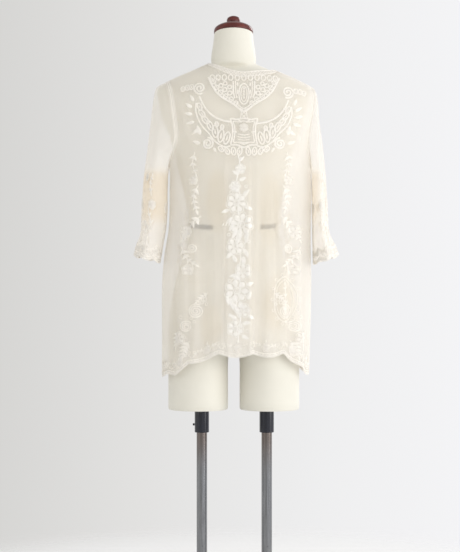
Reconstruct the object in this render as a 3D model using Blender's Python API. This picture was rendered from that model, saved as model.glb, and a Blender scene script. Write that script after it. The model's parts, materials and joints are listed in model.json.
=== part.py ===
# Embroidered mesh gown, open in front, hanging on a smooth dress form on two poles.
# Metres, +Z up. The stand's underside is z = 0, the form faces +Y and its back faces -Y.
import math

import bmesh
import bpy
import numpy as np
from mathutils.bvhtree import BVHTree

# Cloth, seams and clearances
CLOTH = 0.0012
SEAM_GAP = 0.0003
HALF_GAP = SEAM_GAP / 2
SLEEVE_GAP = 0.0005
UNDERARM = 1.120
ARCH_BACK = 0.090
ARCH_FRONT = 0.110
ROUND_BOTTOM = 0.075
SIDE_POWER = 2.3
FRONT_EDGE_END = 1.38
NECK_LEVEL = 1.37

# Edges sharper than this stay sharp
SMOOTH_ANGLE = math.radians(40)

# Rows and columns of the cloth grids
ARCH_ROWS = 8
PLAIN_ROWS = 3
ROUND_ROWS = 4
SKIRT_ROWS = 17
BACK_COLUMNS = 30
FRONT_COLUMNS = 10
SLEEVE_ROWS = 15

# Body of the gown, by height: centre, half width, depth behind, depth in front
BODY = (
    ("height", "centre", "width", "back", "front"),
    (0.540, 0.0025, 0.1920, 0.130, 0.126),
    (0.700, 0.0050, 0.1940, 0.127, 0.124),
    (0.800, 0.0060, 0.1950, 0.122, 0.124),
    (0.890, 0.0090, 0.1910, 0.116, 0.125),
    (0.950, 0.0140, 0.1860, 0.113, 0.126),
    (1.050, 0.0165, 0.1855, 0.112, 0.127),
    (1.120, 0.0150, 0.1860, 0.112, 0.127),
    (1.160, 0.0100, 0.1970, 0.111, 0.122),
    (1.200, 0.0050, 0.2080, 0.108, 0.114),
    (1.250, 0.0000, 0.2200, 0.102, 0.102),
    (1.300, 0.0000, 0.2260, 0.094, 0.088),
    (1.400, 0.0000, 0.2300, 0.082, 0.066),
)

# Top of the shoulders, by distance from the form's axis
RIDGE = (
    ("distance", "height"),
    (0.000, 1.3970),
    (0.050, 1.3935),
    (0.065, 1.3890),
    (0.110, 1.3695),
    (0.160, 1.3480),
    (0.190, 1.3330),
    (0.210, 1.3210),
    (0.240, 1.2980),
)

# Armhole seams, by height: the gown sits a little towards the right shoulder
ARMHOLE = (
    ("height", "left", "right"),
    (1.120, -0.1500, 0.1880),
    (1.198, -0.1510, 0.1940),
    (1.248, -0.1560, 0.2020),
    (1.277, -0.1600, 0.2070),
    (1.308, -0.1650, 0.2080),
    (1.340, -0.1750, 0.2035),
)

# Neck edge: ends on the shoulder seam, and how far down the back's arch the middle lies
NECK_LEFT = -0.0700
NECK_RIGHT = 0.1100
NECK_DROP = 0.81

# Front edges, by height: distance from the body's centre
FRONT_EDGE = (
    ("height", "distance"),
    (0.540, 0.0330),
    (1.000, 0.0350),
    (1.180, 0.0400),
    (1.270, 0.0560),
    (1.340, 0.0780),
    (1.3895, 0.0900),
)

# Hem of the back and of the fronts, by angle round the body, before its scallops
HEM_BACK = (
    ("degrees", "height"),
    (-90, 0.580),
    (-64, 0.580),
    (-51, 0.590),
    (-38, 0.608),
    (-25, 0.626),
    (-12, 0.634),
    (12, 0.634),
    (38, 0.634),
    (51, 0.619),
    (64, 0.597),
    (90, 0.579),
)
HEM_FRONT = (
    ("degrees", "height"),
    (0, 0.606),
    (30, 0.600),
    (60, 0.588),
    (90, 0.5795),
)
HEM_SCALLOPS = 7
HEM_SCALLOP = 0.010

# Folds that hang from the shoulder blades and the bust, by angle round the body
BACK_FOLDS = (
    ("degrees", "spread", "depth", "top"),
    (-72, 7, 0.0050, 0.98),
    (-55, 6, -0.0045, 1.08),
    (-42, 7, 0.0065, 1.16),
    (-27, 6, -0.0050, 1.02),
    (-8, 8, 0.0050, 0.98),
    (9, 7, 0.0060, 1.16),
    (17, 4, -0.0070, 1.17),
    (30, 8, 0.0035, 0.92),
    (44, 6, -0.0055, 1.10),
    (56, 6, 0.0060, 1.14),
    (72, 7, -0.0045, 0.96),
)
FRONT_FOLDS = (
    ("degrees", "spread", "depth", "top"),
    (22, 6, 0.0060, 1.12),
    (33, 5, -0.0055, 1.06),
    (46, 7, 0.0065, 1.10),
    (60, 6, -0.0050, 1.00),
    (74, 6, 0.0050, 0.96),
)
FOLD_LENGTH = 0.34
FOLD_EDGE = 14.0

# Sleeves, from armhole to cuff: outer and inner line, and half depth front to back
SLEEVE_LEFT = (
    ("run", "out_x", "out_z", "in_x", "in_z", "depth"),
    (0.00, -0.1740, 1.3400, -0.1716, 1.1200, 0.070),
    (0.08, -0.2030, 1.3240, -0.1740, 1.1130, 0.072),
    (0.16, -0.2120, 1.2900, -0.1752, 1.0980, 0.074),
    (0.28, -0.2190, 1.2400, -0.1760, 1.0760, 0.075),
    (0.42, -0.2290, 1.1640, -0.1765, 1.0420, 0.076),
    (0.58, -0.2400, 1.0850, -0.1766, 1.0020, 0.076),
    (0.74, -0.2460, 1.0000, -0.1800, 0.9560, 0.077),
    (0.88, -0.2490, 0.9400, -0.1880, 0.9100, 0.082),
    (1.00, -0.2600, 0.8890, -0.1945, 0.8730, 0.090),
)
SLEEVE_RIGHT = (
    ("run", "out_x", "out_z", "in_x", "in_z", "depth"),
    (0.00, 0.2035, 1.3255, 0.2016, 1.1200, 0.060),
    (0.08, 0.2110, 1.3160, 0.2038, 1.1130, 0.064),
    (0.16, 0.2170, 1.2900, 0.2048, 1.0980, 0.068),
    (0.28, 0.2225, 1.2400, 0.2052, 1.0760, 0.074),
    (0.42, 0.2330, 1.1640, 0.2056, 1.0420, 0.080),
    (0.58, 0.2400, 1.0850, 0.2058, 1.0020, 0.084),
    (0.74, 0.2445, 1.0000, 0.2060, 0.9560, 0.086),
    (0.88, 0.2490, 0.9400, 0.2070, 0.9100, 0.089),
    (1.00, 0.2660, 0.8880, 0.2080, 0.8690, 0.094),
)
SLEEVE_SETTLE = 0.34
CUFF_SCALLOPS = 6
CUFF_SCALLOP = 0.007
CUFF_WAVE = 0.006
CUFF_WAVES = 5
SLEEVE_FOLD = 0.0030
SLEEVE_FOLDS = 3
SLEEVE_FOLD_TURN = 0.8
SLEEVE_FOLD_START = 0.15
SLEEVE_FOLD_GROWTH = 0.50
UNDERARM_CLEAR = 1.1
FLARE_START = 0.84
WAVE_TURN = 0.5
SEWN_SHARE = 0.8

# Raised yoke embroidery on the back: a collar and a bib, each a band between two lines.
# Places run across from the motif's centre line, as a share of the half span.
MOTIF_CENTRE = 0.0242
COLLAR = (
    ("across", "upper", "lower"),
    (0.00, 1.3520, 1.2500),
    (0.20, 1.3525, 1.2640),
    (0.45, 1.3545, 1.2795),
    (0.70, 1.3580, 1.2935),
    (0.88, 1.3605, 1.3130),
    (1.00, 1.3600, 1.3370),
)
COLLAR_SPAN = 0.088
COLLAR_STEPS = (12, 8)
BIB = (
    ("across", "upper", "lower"),
    (0.00, 1.2380, 1.1600),
    (0.18, 1.2350, 1.1580),
    (0.36, 1.2290, 1.1600),
    (0.55, 1.2430, 1.1780),
    (0.68, 1.2620, 1.2000),
    (0.78, 1.2950, 1.2350),
    (0.88, 1.3260, 1.2860),
    (1.00, 1.3360, 1.3220),
)
BIB_SPAN = 0.146
BIB_STEPS = (20, 6)
MOTIF_THICK = 0.0012
MOTIF_LIFT = 0.0012

# Dress form, by height: half width, depth behind, depth in front
FORM_CENTRE = -0.0020
FORM = (
    ("height", "width", "back", "front"),
    (0.688, 0.1715, 0.106, 0.096),
    (0.730, 0.1680, 0.108, 0.098),
    (0.780, 0.1600, 0.104, 0.100),
    (0.830, 0.1480, 0.096, 0.101),
    (0.880, 0.1330, 0.086, 0.098),
    (0.925, 0.1200, 0.078, 0.092),
    (0.962, 0.1170, 0.074, 0.088),
    (1.000, 0.1210, 0.075, 0.090),
    (1.060, 0.1340, 0.083, 0.104),
    (1.120, 0.1480, 0.092, 0.117),
    (1.180, 0.1620, 0.098, 0.110),
    (1.230, 0.1820, 0.096, 0.098),
    (1.280, 0.1960, 0.088, 0.083),
    (1.320, 0.2010, 0.077, 0.070),
    (1.380, 0.2030, 0.062, 0.058),
)
FORM_INSET = 0.0045
FORM_TOP_STEPS = 30
FORM_SIDES = 32
FORM_LEVELS = (
    0.688, 0.72, 0.76, 0.80, 0.84, 0.88, 0.92, 0.962, 1.00, 1.04, 1.08, 1.12,
    1.16, 1.20, 1.235, 1.265, 1.29, 1.31, 1.325, 1.340, 1.354, 1.367, 1.378,
)
NECK = (
    ("height", "width", "back", "front"),
    (1.3870, 0.0600, 0.0420, 0.0430),
    (1.398, 0.0590, 0.0440, 0.0450),
    (1.416, 0.0575, 0.0465, 0.0475),
    (1.440, 0.0535, 0.0475, 0.0475),
    (1.4665, 0.0506, 0.0480, 0.0480),
)

NECK_TILT = math.radians(12)

# Thigh stubs under the form
THIGH_CENTRES = (-0.0950, 0.0925)
THIGH_WIDTH = 0.0785
THIGH_DEPTH = 0.0860
THIGH_LEVELS = (0.665, 0.640, 0.600, 0.540, 0.4840, 0.4800)
THIGH_LINE = 7
THIGH_SAG = 0.0200
THIGH_BLEND = 3
THIGH_SPREAD = 0.5
STUB_TAPER = 0.975
STUB_BOTTOM = 0.4800

# Waist tape
TAPE_HEIGHT = 0.0110
TAPE_THICK = 0.0010
TAPE_LIFT = 0.0013
TAPE_MIDDLE = 0.9620
TAPE_DIP = 0.0080
TAPE_TURN = 0.8

# Turned wooden cap and knob on the neck: radius and height above the neck's end
CAP_PROFILE = (
    ("radius", "height"),
    (0.0000, 0.0004),
    (0.0500, 0.0004),
    (0.0514, 0.0025),
    (0.0514, 0.0090),
    (0.0492, 0.0140),
    (0.0430, 0.0188),
    (0.0340, 0.0228),
    (0.0240, 0.0254),
    (0.0165, 0.0265),
    (0.0000, 0.0265),
)
KNOB_PROFILE = (
    ("radius", "height"),
    (0.0000, 0.0269),
    (0.0158, 0.0269),
    (0.0170, 0.0300),
    (0.0179, 0.0350),
    (0.0176, 0.0395),
    (0.0155, 0.0440),
    (0.0100, 0.0474),
    (0.0000, 0.0484),
)
TURNED_SIDES = 28
KNOB_SIDES = 20

# Stand: plates under the stubs, collars, poles and base
POLE_X = 0.0852
POLE_Y = -0.0050
POLE_RADIUS = 0.0138
COLLAR_RADIUS = 0.0190
COLLAR_BEVEL = 0.0010
COLLAR_BOTTOM = 0.4195
PLATE_RADIUS = 0.0350
PLATE_THICK = 0.0025
SCREW_RADIUS = 0.0030
SCREW_LENGTH = 0.0045
SCREW_HEIGHT = 0.4400
SCREW_SIDES = 10
PIN_RADIUS = 0.0030
PIN_LENGTH = 0.0020
PIN_HEIGHT = 0.1200
PIN_TURN = math.radians(14)
BASE_WIDTH = 0.4200
BASE_DEPTH = 0.3200
BASE_THICK = 0.0080
BASE_ROUND = 0.0300
BASE_CORNER_STEPS = 5
SOCKET_RADIUS = 0.0230
SOCKET_HEIGHT = 0.0300
SOCKET_BEVEL = 0.0020


def clear_scene():
    for thing in list(bpy.data.objects):
        bpy.data.objects.remove(thing, do_unlink=True)


def material(name, colour, roughness, metallic=0.0):
    made = bpy.data.materials.new(name)
    made.use_nodes = True
    shader = made.node_tree.nodes["Principled BSDF"]
    shader.inputs["Base Color"].default_value = (*colour, 1.0)
    shader.inputs["Roughness"].default_value = roughness
    shader.inputs["Metallic"].default_value = metallic
    return made


# Values of a table between its rows, on a smooth curve through them
def column(table, name):
    place = table[0].index(name)
    return np.array([row[place] for row in table[1:]], dtype=float)


def slopes(places, values):
    steps = np.diff(values) / np.diff(places)
    inner = (steps[:-1] + steps[1:]) / 2
    inner = np.where(steps[:-1] * steps[1:] <= 0, 0.0, inner)
    return np.concatenate(([steps[0]], inner, [steps[-1]]))


def between(table, name, place):
    places = column(table, table[0][0])
    values = column(table, name)
    grade = slopes(places, values)
    place = min(max(place, places[0]), places[-1])
    i = min(int(np.searchsorted(places, place, side="right")) - 1, len(places) - 2)
    span = places[i + 1] - places[i]
    t = (place - places[i]) / span
    start = values[i] * (1 + 2 * t) * (1 - t) ** 2 + grade[i] * span * t * (1 - t) ** 2
    end = values[i + 1] * t * t * (3 - 2 * t) - grade[i + 1] * span * t * t * (1 - t)
    return float(start + end)


def ease(value):
    value = min(max(value, 0.0), 1.0)
    return value * value * (3 - 2 * value)


# Body surface: side is -1 behind and +1 in front, angle runs from -90 to 90 degrees
def ridge_height(x):
    return between(RIDGE, "height", abs(x))


def arch(side):
    return ARCH_BACK if side < 0 else ARCH_FRONT


def side_shape(angle):
    return max(1.0 - abs(math.sin(angle)) ** SIDE_POWER, 0.0) ** (1.0 / SIDE_POWER)


def body_x(angle, z):
    return between(BODY, "centre", z) + between(BODY, "width", z) * math.sin(angle)


def fold_depth(side, angle, z):
    folds = BACK_FOLDS if side < 0 else FRONT_FOLDS
    degrees = math.degrees(angle) if side < 0 else abs(math.degrees(angle))
    depth = 0.0
    for middle, spread, height, top in folds[1:]:
        grown = ease((top - z) / FOLD_LENGTH)
        depth += height * grown * math.exp(-((degrees - middle) / spread) ** 2)
    return depth * ease((90 - abs(math.degrees(angle))) / FOLD_EDGE)


def body_point(side, angle, z):
    x = body_x(angle, z)
    drop = max(ridge_height(x) - z, 0.0)
    reach = min(drop / arch(side), 1.0)
    bulge = math.sqrt(max(1.0 - (1.0 - reach) ** 2, 0.0))
    depth = between(BODY, "back" if side < 0 else "front", z) * side_shape(angle) * bulge
    fold = fold_depth(side, angle, z)
    x += fold * math.sin(angle)
    depth += fold * math.cos(angle)
    return np.array((x, side * (HALF_GAP + depth), z))


# Height of a row: through the shoulder's arch, straight, then round the armhole's bottom
def row_height(side, angle_at, row, top_turn=0.0):
    turn = top_turn + (math.pi / 2 - top_turn) * min(row / ARCH_ROWS, 1.0)
    z = UNDERARM + 0.2
    for _ in range(6):
        ridge = ridge_height(body_x(angle_at(z), z))
        low = UNDERARM + ROUND_BOTTOM
        if row <= ARCH_ROWS:
            z = ridge - arch(side) * (1.0 - math.cos(turn))
        elif row <= ARCH_ROWS + PLAIN_ROWS:
            share = (row - ARCH_ROWS) / PLAIN_ROWS
            z = (ridge - arch(side)) * (1.0 - share) + low * share
        else:
            left = ARCH_ROWS + PLAIN_ROWS + ROUND_ROWS - row
            z = UNDERARM + ROUND_BOTTOM * (1.0 - math.cos(math.pi / 2 * left / ROUND_ROWS))
    return z


ARM_ROWS = ARCH_ROWS + PLAIN_ROWS + ROUND_ROWS


# Angle of the armhole seam, or of the side seam under it, on the left (-1) or right (1)
def seam_angle(hand, z):
    if z <= UNDERARM:
        return hand * math.pi / 2
    name = "left" if hand < 0 else "right"
    share = (between(ARMHOLE, name, z) - between(BODY, "centre", z)) / between(BODY, "width", z)
    inner = math.asin(min(max(share, -1.0), 1.0))
    rise = min((z - UNDERARM) / ROUND_BOTTOM, 1.0)
    blend = math.sqrt(max(1.0 - (1.0 - rise) ** 2, 0.0))
    return hand * math.pi / 2 * (1.0 - blend) + inner * blend


# How far round the arch the back's neck edge starts, for a place across the shoulders
def neck_turn(x):
    middle = (NECK_LEFT + NECK_RIGHT) / 2
    share = (x - middle) / ((NECK_RIGHT - NECK_LEFT) / 2)
    if abs(share) >= 1.0:
        return 0.0
    return math.asin(NECK_DROP * math.sqrt(1.0 - share * share))


def hem_height(side, angle):
    degrees = math.degrees(angle)
    if side < 0:
        base = between(HEM_BACK, "height", degrees)
    else:
        base = between(HEM_FRONT, "height", abs(degrees))
    scallop = abs(math.sin(math.pi * HEM_SCALLOPS * (degrees + 90) / 180))
    return base - HEM_SCALLOP * scallop


def back_grid():
    grid = []
    for row in range(ARM_ROWS + SKIRT_ROWS + 1):
        line = []
        for step in range(BACK_COLUMNS + 1):
            share = step / BACK_COLUMNS

            def angle_at(z, share=share):
                return seam_angle(-1, z) * (1 - share) + seam_angle(1, z) * share

            if row <= ARM_ROWS:
                start = neck_turn(body_x(angle_at(NECK_LEVEL), NECK_LEVEL))
                z = row_height(-1, angle_at, row, start)
            else:
                hem = hem_height(-1, angle_at(UNDERARM))
                z = UNDERARM + (hem - UNDERARM) * (row - ARM_ROWS) / SKIRT_ROWS
            line.append(body_point(-1, angle_at(z), z))
        grid.append(line)
    return np.array(grid)


def front_edge_angle(hand, z):
    share = between(FRONT_EDGE, "distance", z) / between(BODY, "width", z)
    if z > UNDERARM:
        end = NECK_LEFT if hand < 0 else NECK_RIGHT
        away = abs(end - between(BODY, "centre", z)) / abs(FRONT_EDGE[-1][1])
        share *= 1.0 + (away - 1.0) * ease((z - UNDERARM) / (FRONT_EDGE_END - UNDERARM))
    return hand * math.asin(share)


def front_grid(hand):
    grid = []
    for row in range(ARM_ROWS + SKIRT_ROWS + 1):
        line = []
        for step in range(FRONT_COLUMNS + 1):
            share = step / FRONT_COLUMNS

            def angle_at(z, share=share):
                return front_edge_angle(hand, z) * (1 - share) + seam_angle(hand, z) * share

            if row <= ARM_ROWS:
                z = row_height(1, angle_at, row)
            else:
                hem = hem_height(1, angle_at(UNDERARM))
                z = UNDERARM + (hem - UNDERARM) * (row - ARM_ROWS) / SKIRT_ROWS
            line.append(body_point(1, angle_at(z), z))
        grid.append(line)
    return np.array(grid)


# Unit normals of a grid of points
def grid_normals(grid, around=False):
    if around:
        padded = np.concatenate((grid[:, -1:], grid, grid[:, :1]), axis=1)
        across = (padded[:, 2:] - padded[:, :-2]) / 2
    else:
        across = np.gradient(grid, axis=1)
    down = np.gradient(grid, axis=0)
    normals = np.cross(down, across)
    return normals / np.linalg.norm(normals, axis=2, keepdims=True)


# A wall between two grids of points, closed round its free edges
def wall(name, outer, inner, finish, around=False):
    rows, columns = outer.shape[:2]
    points = np.concatenate((outer.reshape(-1, 3), inner.reshape(-1, 3)))
    count = rows * columns
    faces = []
    last = columns if around else columns - 1
    for i in range(rows - 1):
        for j in range(last):
            k = (j + 1) % columns
            a, b = i * columns + j, i * columns + k
            c, d = b + columns, a + columns
            faces.extend(((a, d, c), (a, c, b)))
            faces.extend(((count + a, count + c, count + d), (count + a, count + b, count + c)))
    for j in range(last):
        k = (j + 1) % columns
        low = (rows - 1) * columns
        faces.append((j, k, count + k, count + j))
        faces.append((low + k, low + j, count + low + j, count + low + k))
    if not around:
        for i in range(rows - 1):
            left, under = i * columns, (i + 1) * columns
            right, below = left + columns - 1, under + columns - 1
            faces.append((under, left, count + left, count + under))
            faces.append((right, below, count + below, count + right))
    return solid(name, points, faces, finish)


def solid(name, points, faces, finish, smooth=True):
    mesh = bpy.data.meshes.new(name)
    mesh.from_pydata([tuple(float(v) for v in p) for p in points], [], faces)
    work = bmesh.new()
    work.from_mesh(mesh)
    bmesh.ops.recalc_face_normals(work, faces=work.faces)
    work.to_mesh(mesh)
    work.free()
    mesh.validate()
    if smooth:
        mesh.shade_smooth()
        mesh.set_sharp_from_angle(angle=SMOOTH_ANGLE)
    mesh.materials.append(finish)
    thing = bpy.data.objects.new(name, mesh)
    bpy.context.scene.collection.objects.link(thing)
    return thing


# Normals of a panel that faces one way; at a shoulder or side seam they stay in its plane
def panel_normals(grid, side):
    normals = grid_normals(grid)
    middle = normals[normals.shape[0] // 2, normals.shape[1] // 2]
    if middle[1] * side < 0:
        normals = -normals
    seam = np.abs(grid[:, :, 1]) < SEAM_GAP
    normals[seam, 1] = 0.0
    return normals / np.linalg.norm(normals, axis=2, keepdims=True)


def panel(name, grid, side, finish):
    return wall(name, grid, grid - CLOTH * panel_normals(grid, side), finish)


# Sleeve: rings from the armhole's own points to the cuff
def armhole_ring(hand, back, front):
    behind = list(back[:ARM_ROWS + 1, 0 if hand < 0 else -1])
    before = list(front[:ARM_ROWS + 1, -1])
    top = (behind[0] + before[0]) / 2
    bottom = (behind[-1] + before[-1]) / 2
    return np.array([top] + before[1:-1] + [bottom] + behind[-2:0:-1])


def sleeve_rings(hand, start):
    table = SLEEVE_LEFT if hand < 0 else SLEEVE_RIGHT
    start = start + np.array((hand * SLEEVE_GAP, 0.0, 0.0))
    count = len(start)
    turns = [2 * math.pi * step / count for step in range(count)]
    rings = []
    first = None
    for row in range(SLEEVE_ROWS + 1):
        run = row / SLEEVE_ROWS
        out = np.array((between(table, "out_x", run), 0.0, between(table, "out_z", run)))
        inn = np.array((between(table, "in_x", run), 0.0, between(table, "in_z", run)))
        depth = between(table, "depth", run)
        ring = []
        for step, turn in enumerate(turns):
            point = (out + inn) / 2 + (out - inn) / 2 * math.cos(turn)
            point[1] = depth * math.sin(turn)
            ring.append(point)
        ring = np.array(ring)
        if first is None:
            first = ring.copy()
        keep = 1.0 - ease(run / SLEEVE_SETTLE)
        ring += (start - first) * keep
        rings.append(shape_sleeve(ring, turns, run, hand))
    return np.array(rings)


# Long folds down the sleeve, a flared wavy cuff and its scallops
def shape_sleeve(ring, turns, run, hand):
    middle = ring.mean(axis=0)
    for step, turn in enumerate(turns):
        clear = ease((1.0 + math.cos(turn)) * UNDERARM_CLEAR)
        away = ring[step] - middle
        away /= np.linalg.norm(away)
        grown = ease((run - SLEEVE_FOLD_START) / SLEEVE_FOLD_GROWTH)
        fold = SLEEVE_FOLD * grown * math.sin(SLEEVE_FOLDS * turn + SLEEVE_FOLD_TURN * hand)
        flare = ease((run - FLARE_START) / (1.0 - FLARE_START))
        wave = CUFF_WAVE * flare * math.cos(CUFF_WAVES * turn + WAVE_TURN)
        ring[step] += away * (fold + wave) * clear
        if run >= 1.0:
            ring[step][2] -= CUFF_SCALLOP * abs(math.sin(CUFF_SCALLOPS / 2 * turn))
    return ring


# The sleeve's first ring takes its wall's direction from the panels it is sewn to
def sleeve(name, hand, back, front, finish):
    rings = sleeve_rings(hand, armhole_ring(hand, back, front))
    normals = grid_normals(rings, True)
    if normals[SLEEVE_ROWS // 2, 0, 0] * hand < 0:
        normals = -normals
    sewn = armhole_ring(hand, panel_normals(back, -1), panel_normals(front, 1))
    for step in range(rings.shape[1]):
        turn = 2 * math.pi * step / rings.shape[1]
        share = ease(SEWN_SHARE + math.cos(turn))
        mixed = sewn[step] * share + normals[0, step] * (1.0 - share)
        normals[0, step] = mixed / np.linalg.norm(mixed)
    return wall(name, rings, rings - CLOTH * normals, finish, True)


def gown(finish):
    back = back_grid()
    panel("back", back, -1, finish)
    for hand, name in ((-1, "left"), (1, "right")):
        front = front_grid(hand)
        panel("front_" + name, front, 1, finish)
        sleeve("sleeve_" + name, hand, back, front, finish)
    return back


# Point on the gown's back, by place across and height, and its outward direction
def back_angle(x, z):
    share = (x - between(BODY, "centre", z)) / between(BODY, "width", z)
    return math.asin(min(max(share, -1.0), 1.0))


def outward(x, z):
    angle = back_angle(x, z)
    aside = body_point(-1, angle + 0.01, z) - body_point(-1, angle - 0.01, z)
    up = body_point(-1, angle, z + 0.002) - body_point(-1, angle, z - 0.002)
    out = np.cross(aside, up)
    return out / np.linalg.norm(out)


# The back panel's outer points as a tree of facets, to set what is sewn on it
def facets(grid):
    rows, columns = grid.shape[:2]
    points = [tuple(p) for p in grid.reshape(-1, 3)]
    faces = []
    for i in range(rows - 1):
        for j in range(columns - 1):
            k = i * columns + j
            faces.extend(((k, k + columns, k + columns + 1), (k, k + columns + 1, k + 1)))
    return BVHTree.FromPolygons(points, faces)


# A raised band of embroidery between an upper and a lower line, made from the back's points
def motif(name, table, span, steps, panel_facets, finish):
    across_steps, down_steps = steps
    outer, inner = [], []
    for row in range(down_steps + 1):
        outer_line, inner_line = [], []
        for step in range(-across_steps, across_steps + 1):
            share = step / across_steps
            x = MOTIF_CENTRE + span * share
            upper = between(table, "upper", abs(share))
            lower = between(table, "lower", abs(share))
            z = upper + (lower - upper) * row / down_steps
            here = panel_facets.ray_cast((x, -1.0, z), (0.0, 1.0, 0.0))[0]
            out = outward(x, z)
            outer_line.append(np.array(here) + out * (MOTIF_LIFT + MOTIF_THICK))
            inner_line.append(np.array(here) + out * MOTIF_LIFT)
        outer.append(outer_line)
        inner.append(inner_line)
    return wall(name, np.array(outer), np.array(inner), finish)


def yoke(back, finish):
    panel_facets = facets(back)
    motif("yoke_collar", COLLAR, COLLAR_SPAN, COLLAR_STEPS, panel_facets, finish)
    motif("yoke_bib", BIB, BIB_SPAN, BIB_STEPS, panel_facets, finish)


# Dress form: rings of points, each from its height
def form_section(z, turn):
    width = between(FORM, "width", z)
    limit = width
    for _ in range(FORM_TOP_STEPS):
        if ridge_height(limit) - FORM_INSET >= z:
            break
        limit -= 0.0005 + 0.5 * (z - ridge_height(limit) + FORM_INSET)
    x = limit * math.sin(turn)
    side = -1 if math.cos(turn) > 0 else 1
    round_off = max(1.0 - abs(x / width) ** SIDE_POWER, 0.0) ** (1.0 / SIDE_POWER)
    drop = max(ridge_height(x) - FORM_INSET - z, 0.0)
    reach = min(drop / arch(side), 1.0)
    bulge = math.sqrt(max(1.0 - (1.0 - reach) ** 2, 0.0))
    depth = between(FORM, "back" if side < 0 else "front", z) * round_off * bulge
    return np.array((FORM_CENTRE + x, side * depth, z))


def neck_section(z, turn):
    width = between(NECK, "width", z)
    depth = between(NECK, "back" if math.cos(turn) > 0 else "front", z)
    return np.array((FORM_CENTRE + width * math.sin(turn), -depth * math.cos(turn), z))


def ring_turns(count):
    return [2 * math.pi * step / count for step in range(count)]


# The form's lowest ring is parted by a line from back to front, one thigh on each side
def dress_form(finish):
    turns = ring_turns(FORM_SIDES)
    points, faces, rings = [], [], []
    for z in FORM_LEVELS:
        rings.append([form_section(z, turn) for turn in turns])
    for number, row in enumerate(NECK[1:]):
        ring = np.array([neck_section(row[0], turn) for turn in turns])
        ring[:, 2] -= math.tan(NECK_TILT) * ring[:, 1] * ease(number / (len(NECK) - 2))
        rings.append(list(ring))
    for ring in rings:
        points.extend(ring)
    for i in range(len(rings) - 1):
        for j in range(FORM_SIDES):
            k = (j + 1) % FORM_SIDES
            low, high = i * FORM_SIDES, (i + 1) * FORM_SIDES
            faces.append((low + j, low + k, high + k, high + j))
    top = (len(rings) - 1) * FORM_SIDES
    faces.append(tuple(top + j for j in range(FORM_SIDES)))
    half = FORM_SIDES // 2
    line_start = len(points)
    back_point, front_point = rings[0][0], rings[0][half]
    for step in range(1, THIGH_LINE):
        share = step / THIGH_LINE
        sag = THIGH_SAG * math.sin(math.pi * share)
        point = back_point * (1 - share) + front_point * share
        points.append(point + np.array((0.0, 0.0, -sag)))
    line = list(range(line_start, line_start + THIGH_LINE - 1))
    right = list(range(0, half + 1)) + line[::-1]
    left = [0] + line + list(range(half, FORM_SIDES))
    for loop, centre in ((right, THIGH_CENTRES[1]), (left, THIGH_CENTRES[0])):
        add_thigh(points, faces, loop, centre)
    return solid("form", points, faces, finish)


def add_thigh(points, faces, loop, centre):
    first = [points[i] for i in loop]
    angles = [math.atan2(p[0] - centre, -p[1]) for p in first]
    angles = even_angles(angles)
    before = loop
    for number, z in enumerate(THIGH_LEVELS):
        start = len(points)
        blend = ease((number + 1) / THIGH_BLEND)
        shrink = STUB_TAPER if number == len(THIGH_LEVELS) - 1 else 1.0
        for p, turn in zip(first, angles):
            x = centre + THIGH_WIDTH * shrink * math.sin(turn)
            y = -THIGH_DEPTH * shrink * math.cos(turn)
            x, y = p[0] * (1 - blend) + x * blend, p[1] * (1 - blend) + y * blend
            points.append(np.array((x, y, z)))
        after = list(range(start, start + len(first)))
        for j in range(len(first)):
            k = (j + 1) % len(first)
            faces.append((before[k], before[j], after[j], after[k]))
        before = after
    faces.append(tuple(before))


# The loop's own angles, opened out a little towards even spacing
def even_angles(angles):
    count = len(angles)
    unwrapped = list(np.unwrap(angles))
    sign = 1.0 if unwrapped[-1] > unwrapped[0] else -1.0
    even = [unwrapped[0] + sign * 2 * math.pi * step / count for step in range(count)]
    mean = sum(u - e for u, e in zip(unwrapped, even)) / count
    return [u + THIGH_SPREAD * (e + mean - u) for u, e in zip(unwrapped, even)]


def waist_tape(finish):
    turns = ring_turns(FORM_SIDES)
    outer, inner = [], []
    for row in range(2):
        outer_ring, inner_ring = [], []
        for turn in turns:
            middle = TAPE_MIDDLE - TAPE_DIP * max(math.cos(turn), 0.0) ** 2
            z = middle + TAPE_HEIGHT * (0.5 - row)
            here = form_section(z, turn)
            out = np.array((math.sin(turn) * TAPE_TURN, -math.cos(turn), 0.0))
            out /= np.linalg.norm(out)
            inner_ring.append(here + out * TAPE_LIFT)
            outer_ring.append(here + out * (TAPE_LIFT + TAPE_THICK))
        outer.append(outer_ring)
        inner.append(inner_ring)
    return wall("waist_tape", np.array(outer), np.array(inner), finish, True)


# A turned solid from radii and heights that run upwards; its axis may lean forward
def turned(name, profile, foot, finish, sides=TURNED_SIDES, lean=0.0):
    points, faces = [], []
    rings = []
    up = np.array((0.0, math.sin(lean), math.cos(lean)))
    ahead = np.array((0.0, math.cos(lean), -math.sin(lean)))
    for radius, height in profile:
        middle = np.array(foot) + up * height
        if radius == 0:
            rings.append([len(points)])
            points.append(middle)
            continue
        rings.append(list(range(len(points), len(points) + sides)))
        for step in range(sides):
            turn = 2 * math.pi * step / sides
            aside = np.array((radius * math.cos(turn), 0.0, 0.0))
            points.append(middle + aside + ahead * radius * math.sin(turn))
    for low, high in zip(rings, rings[1:]):
        for step in range(sides):
            after = (step + 1) % sides
            if len(low) == 1:
                faces.append((low[0], high[after], high[step]))
            elif len(high) == 1:
                faces.append((low[step], low[after], high[0]))
            else:
                faces.append((low[step], low[after], high[after], high[step]))
    return solid(name, points, faces, finish)


def cylinder(name, radius, low, high, x, y, finish, bevel=0.0, sides=TURNED_SIDES):
    profile = [(0, low), (radius - bevel, low), (radius, low + bevel)]
    profile += [(radius, high - bevel), (radius - bevel, high), (0, high)]
    if bevel == 0:
        profile = [(0, low), (radius, low), (radius, high), (0, high)]
    return turned(name, profile, (x, y, 0.0), finish, sides)


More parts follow.
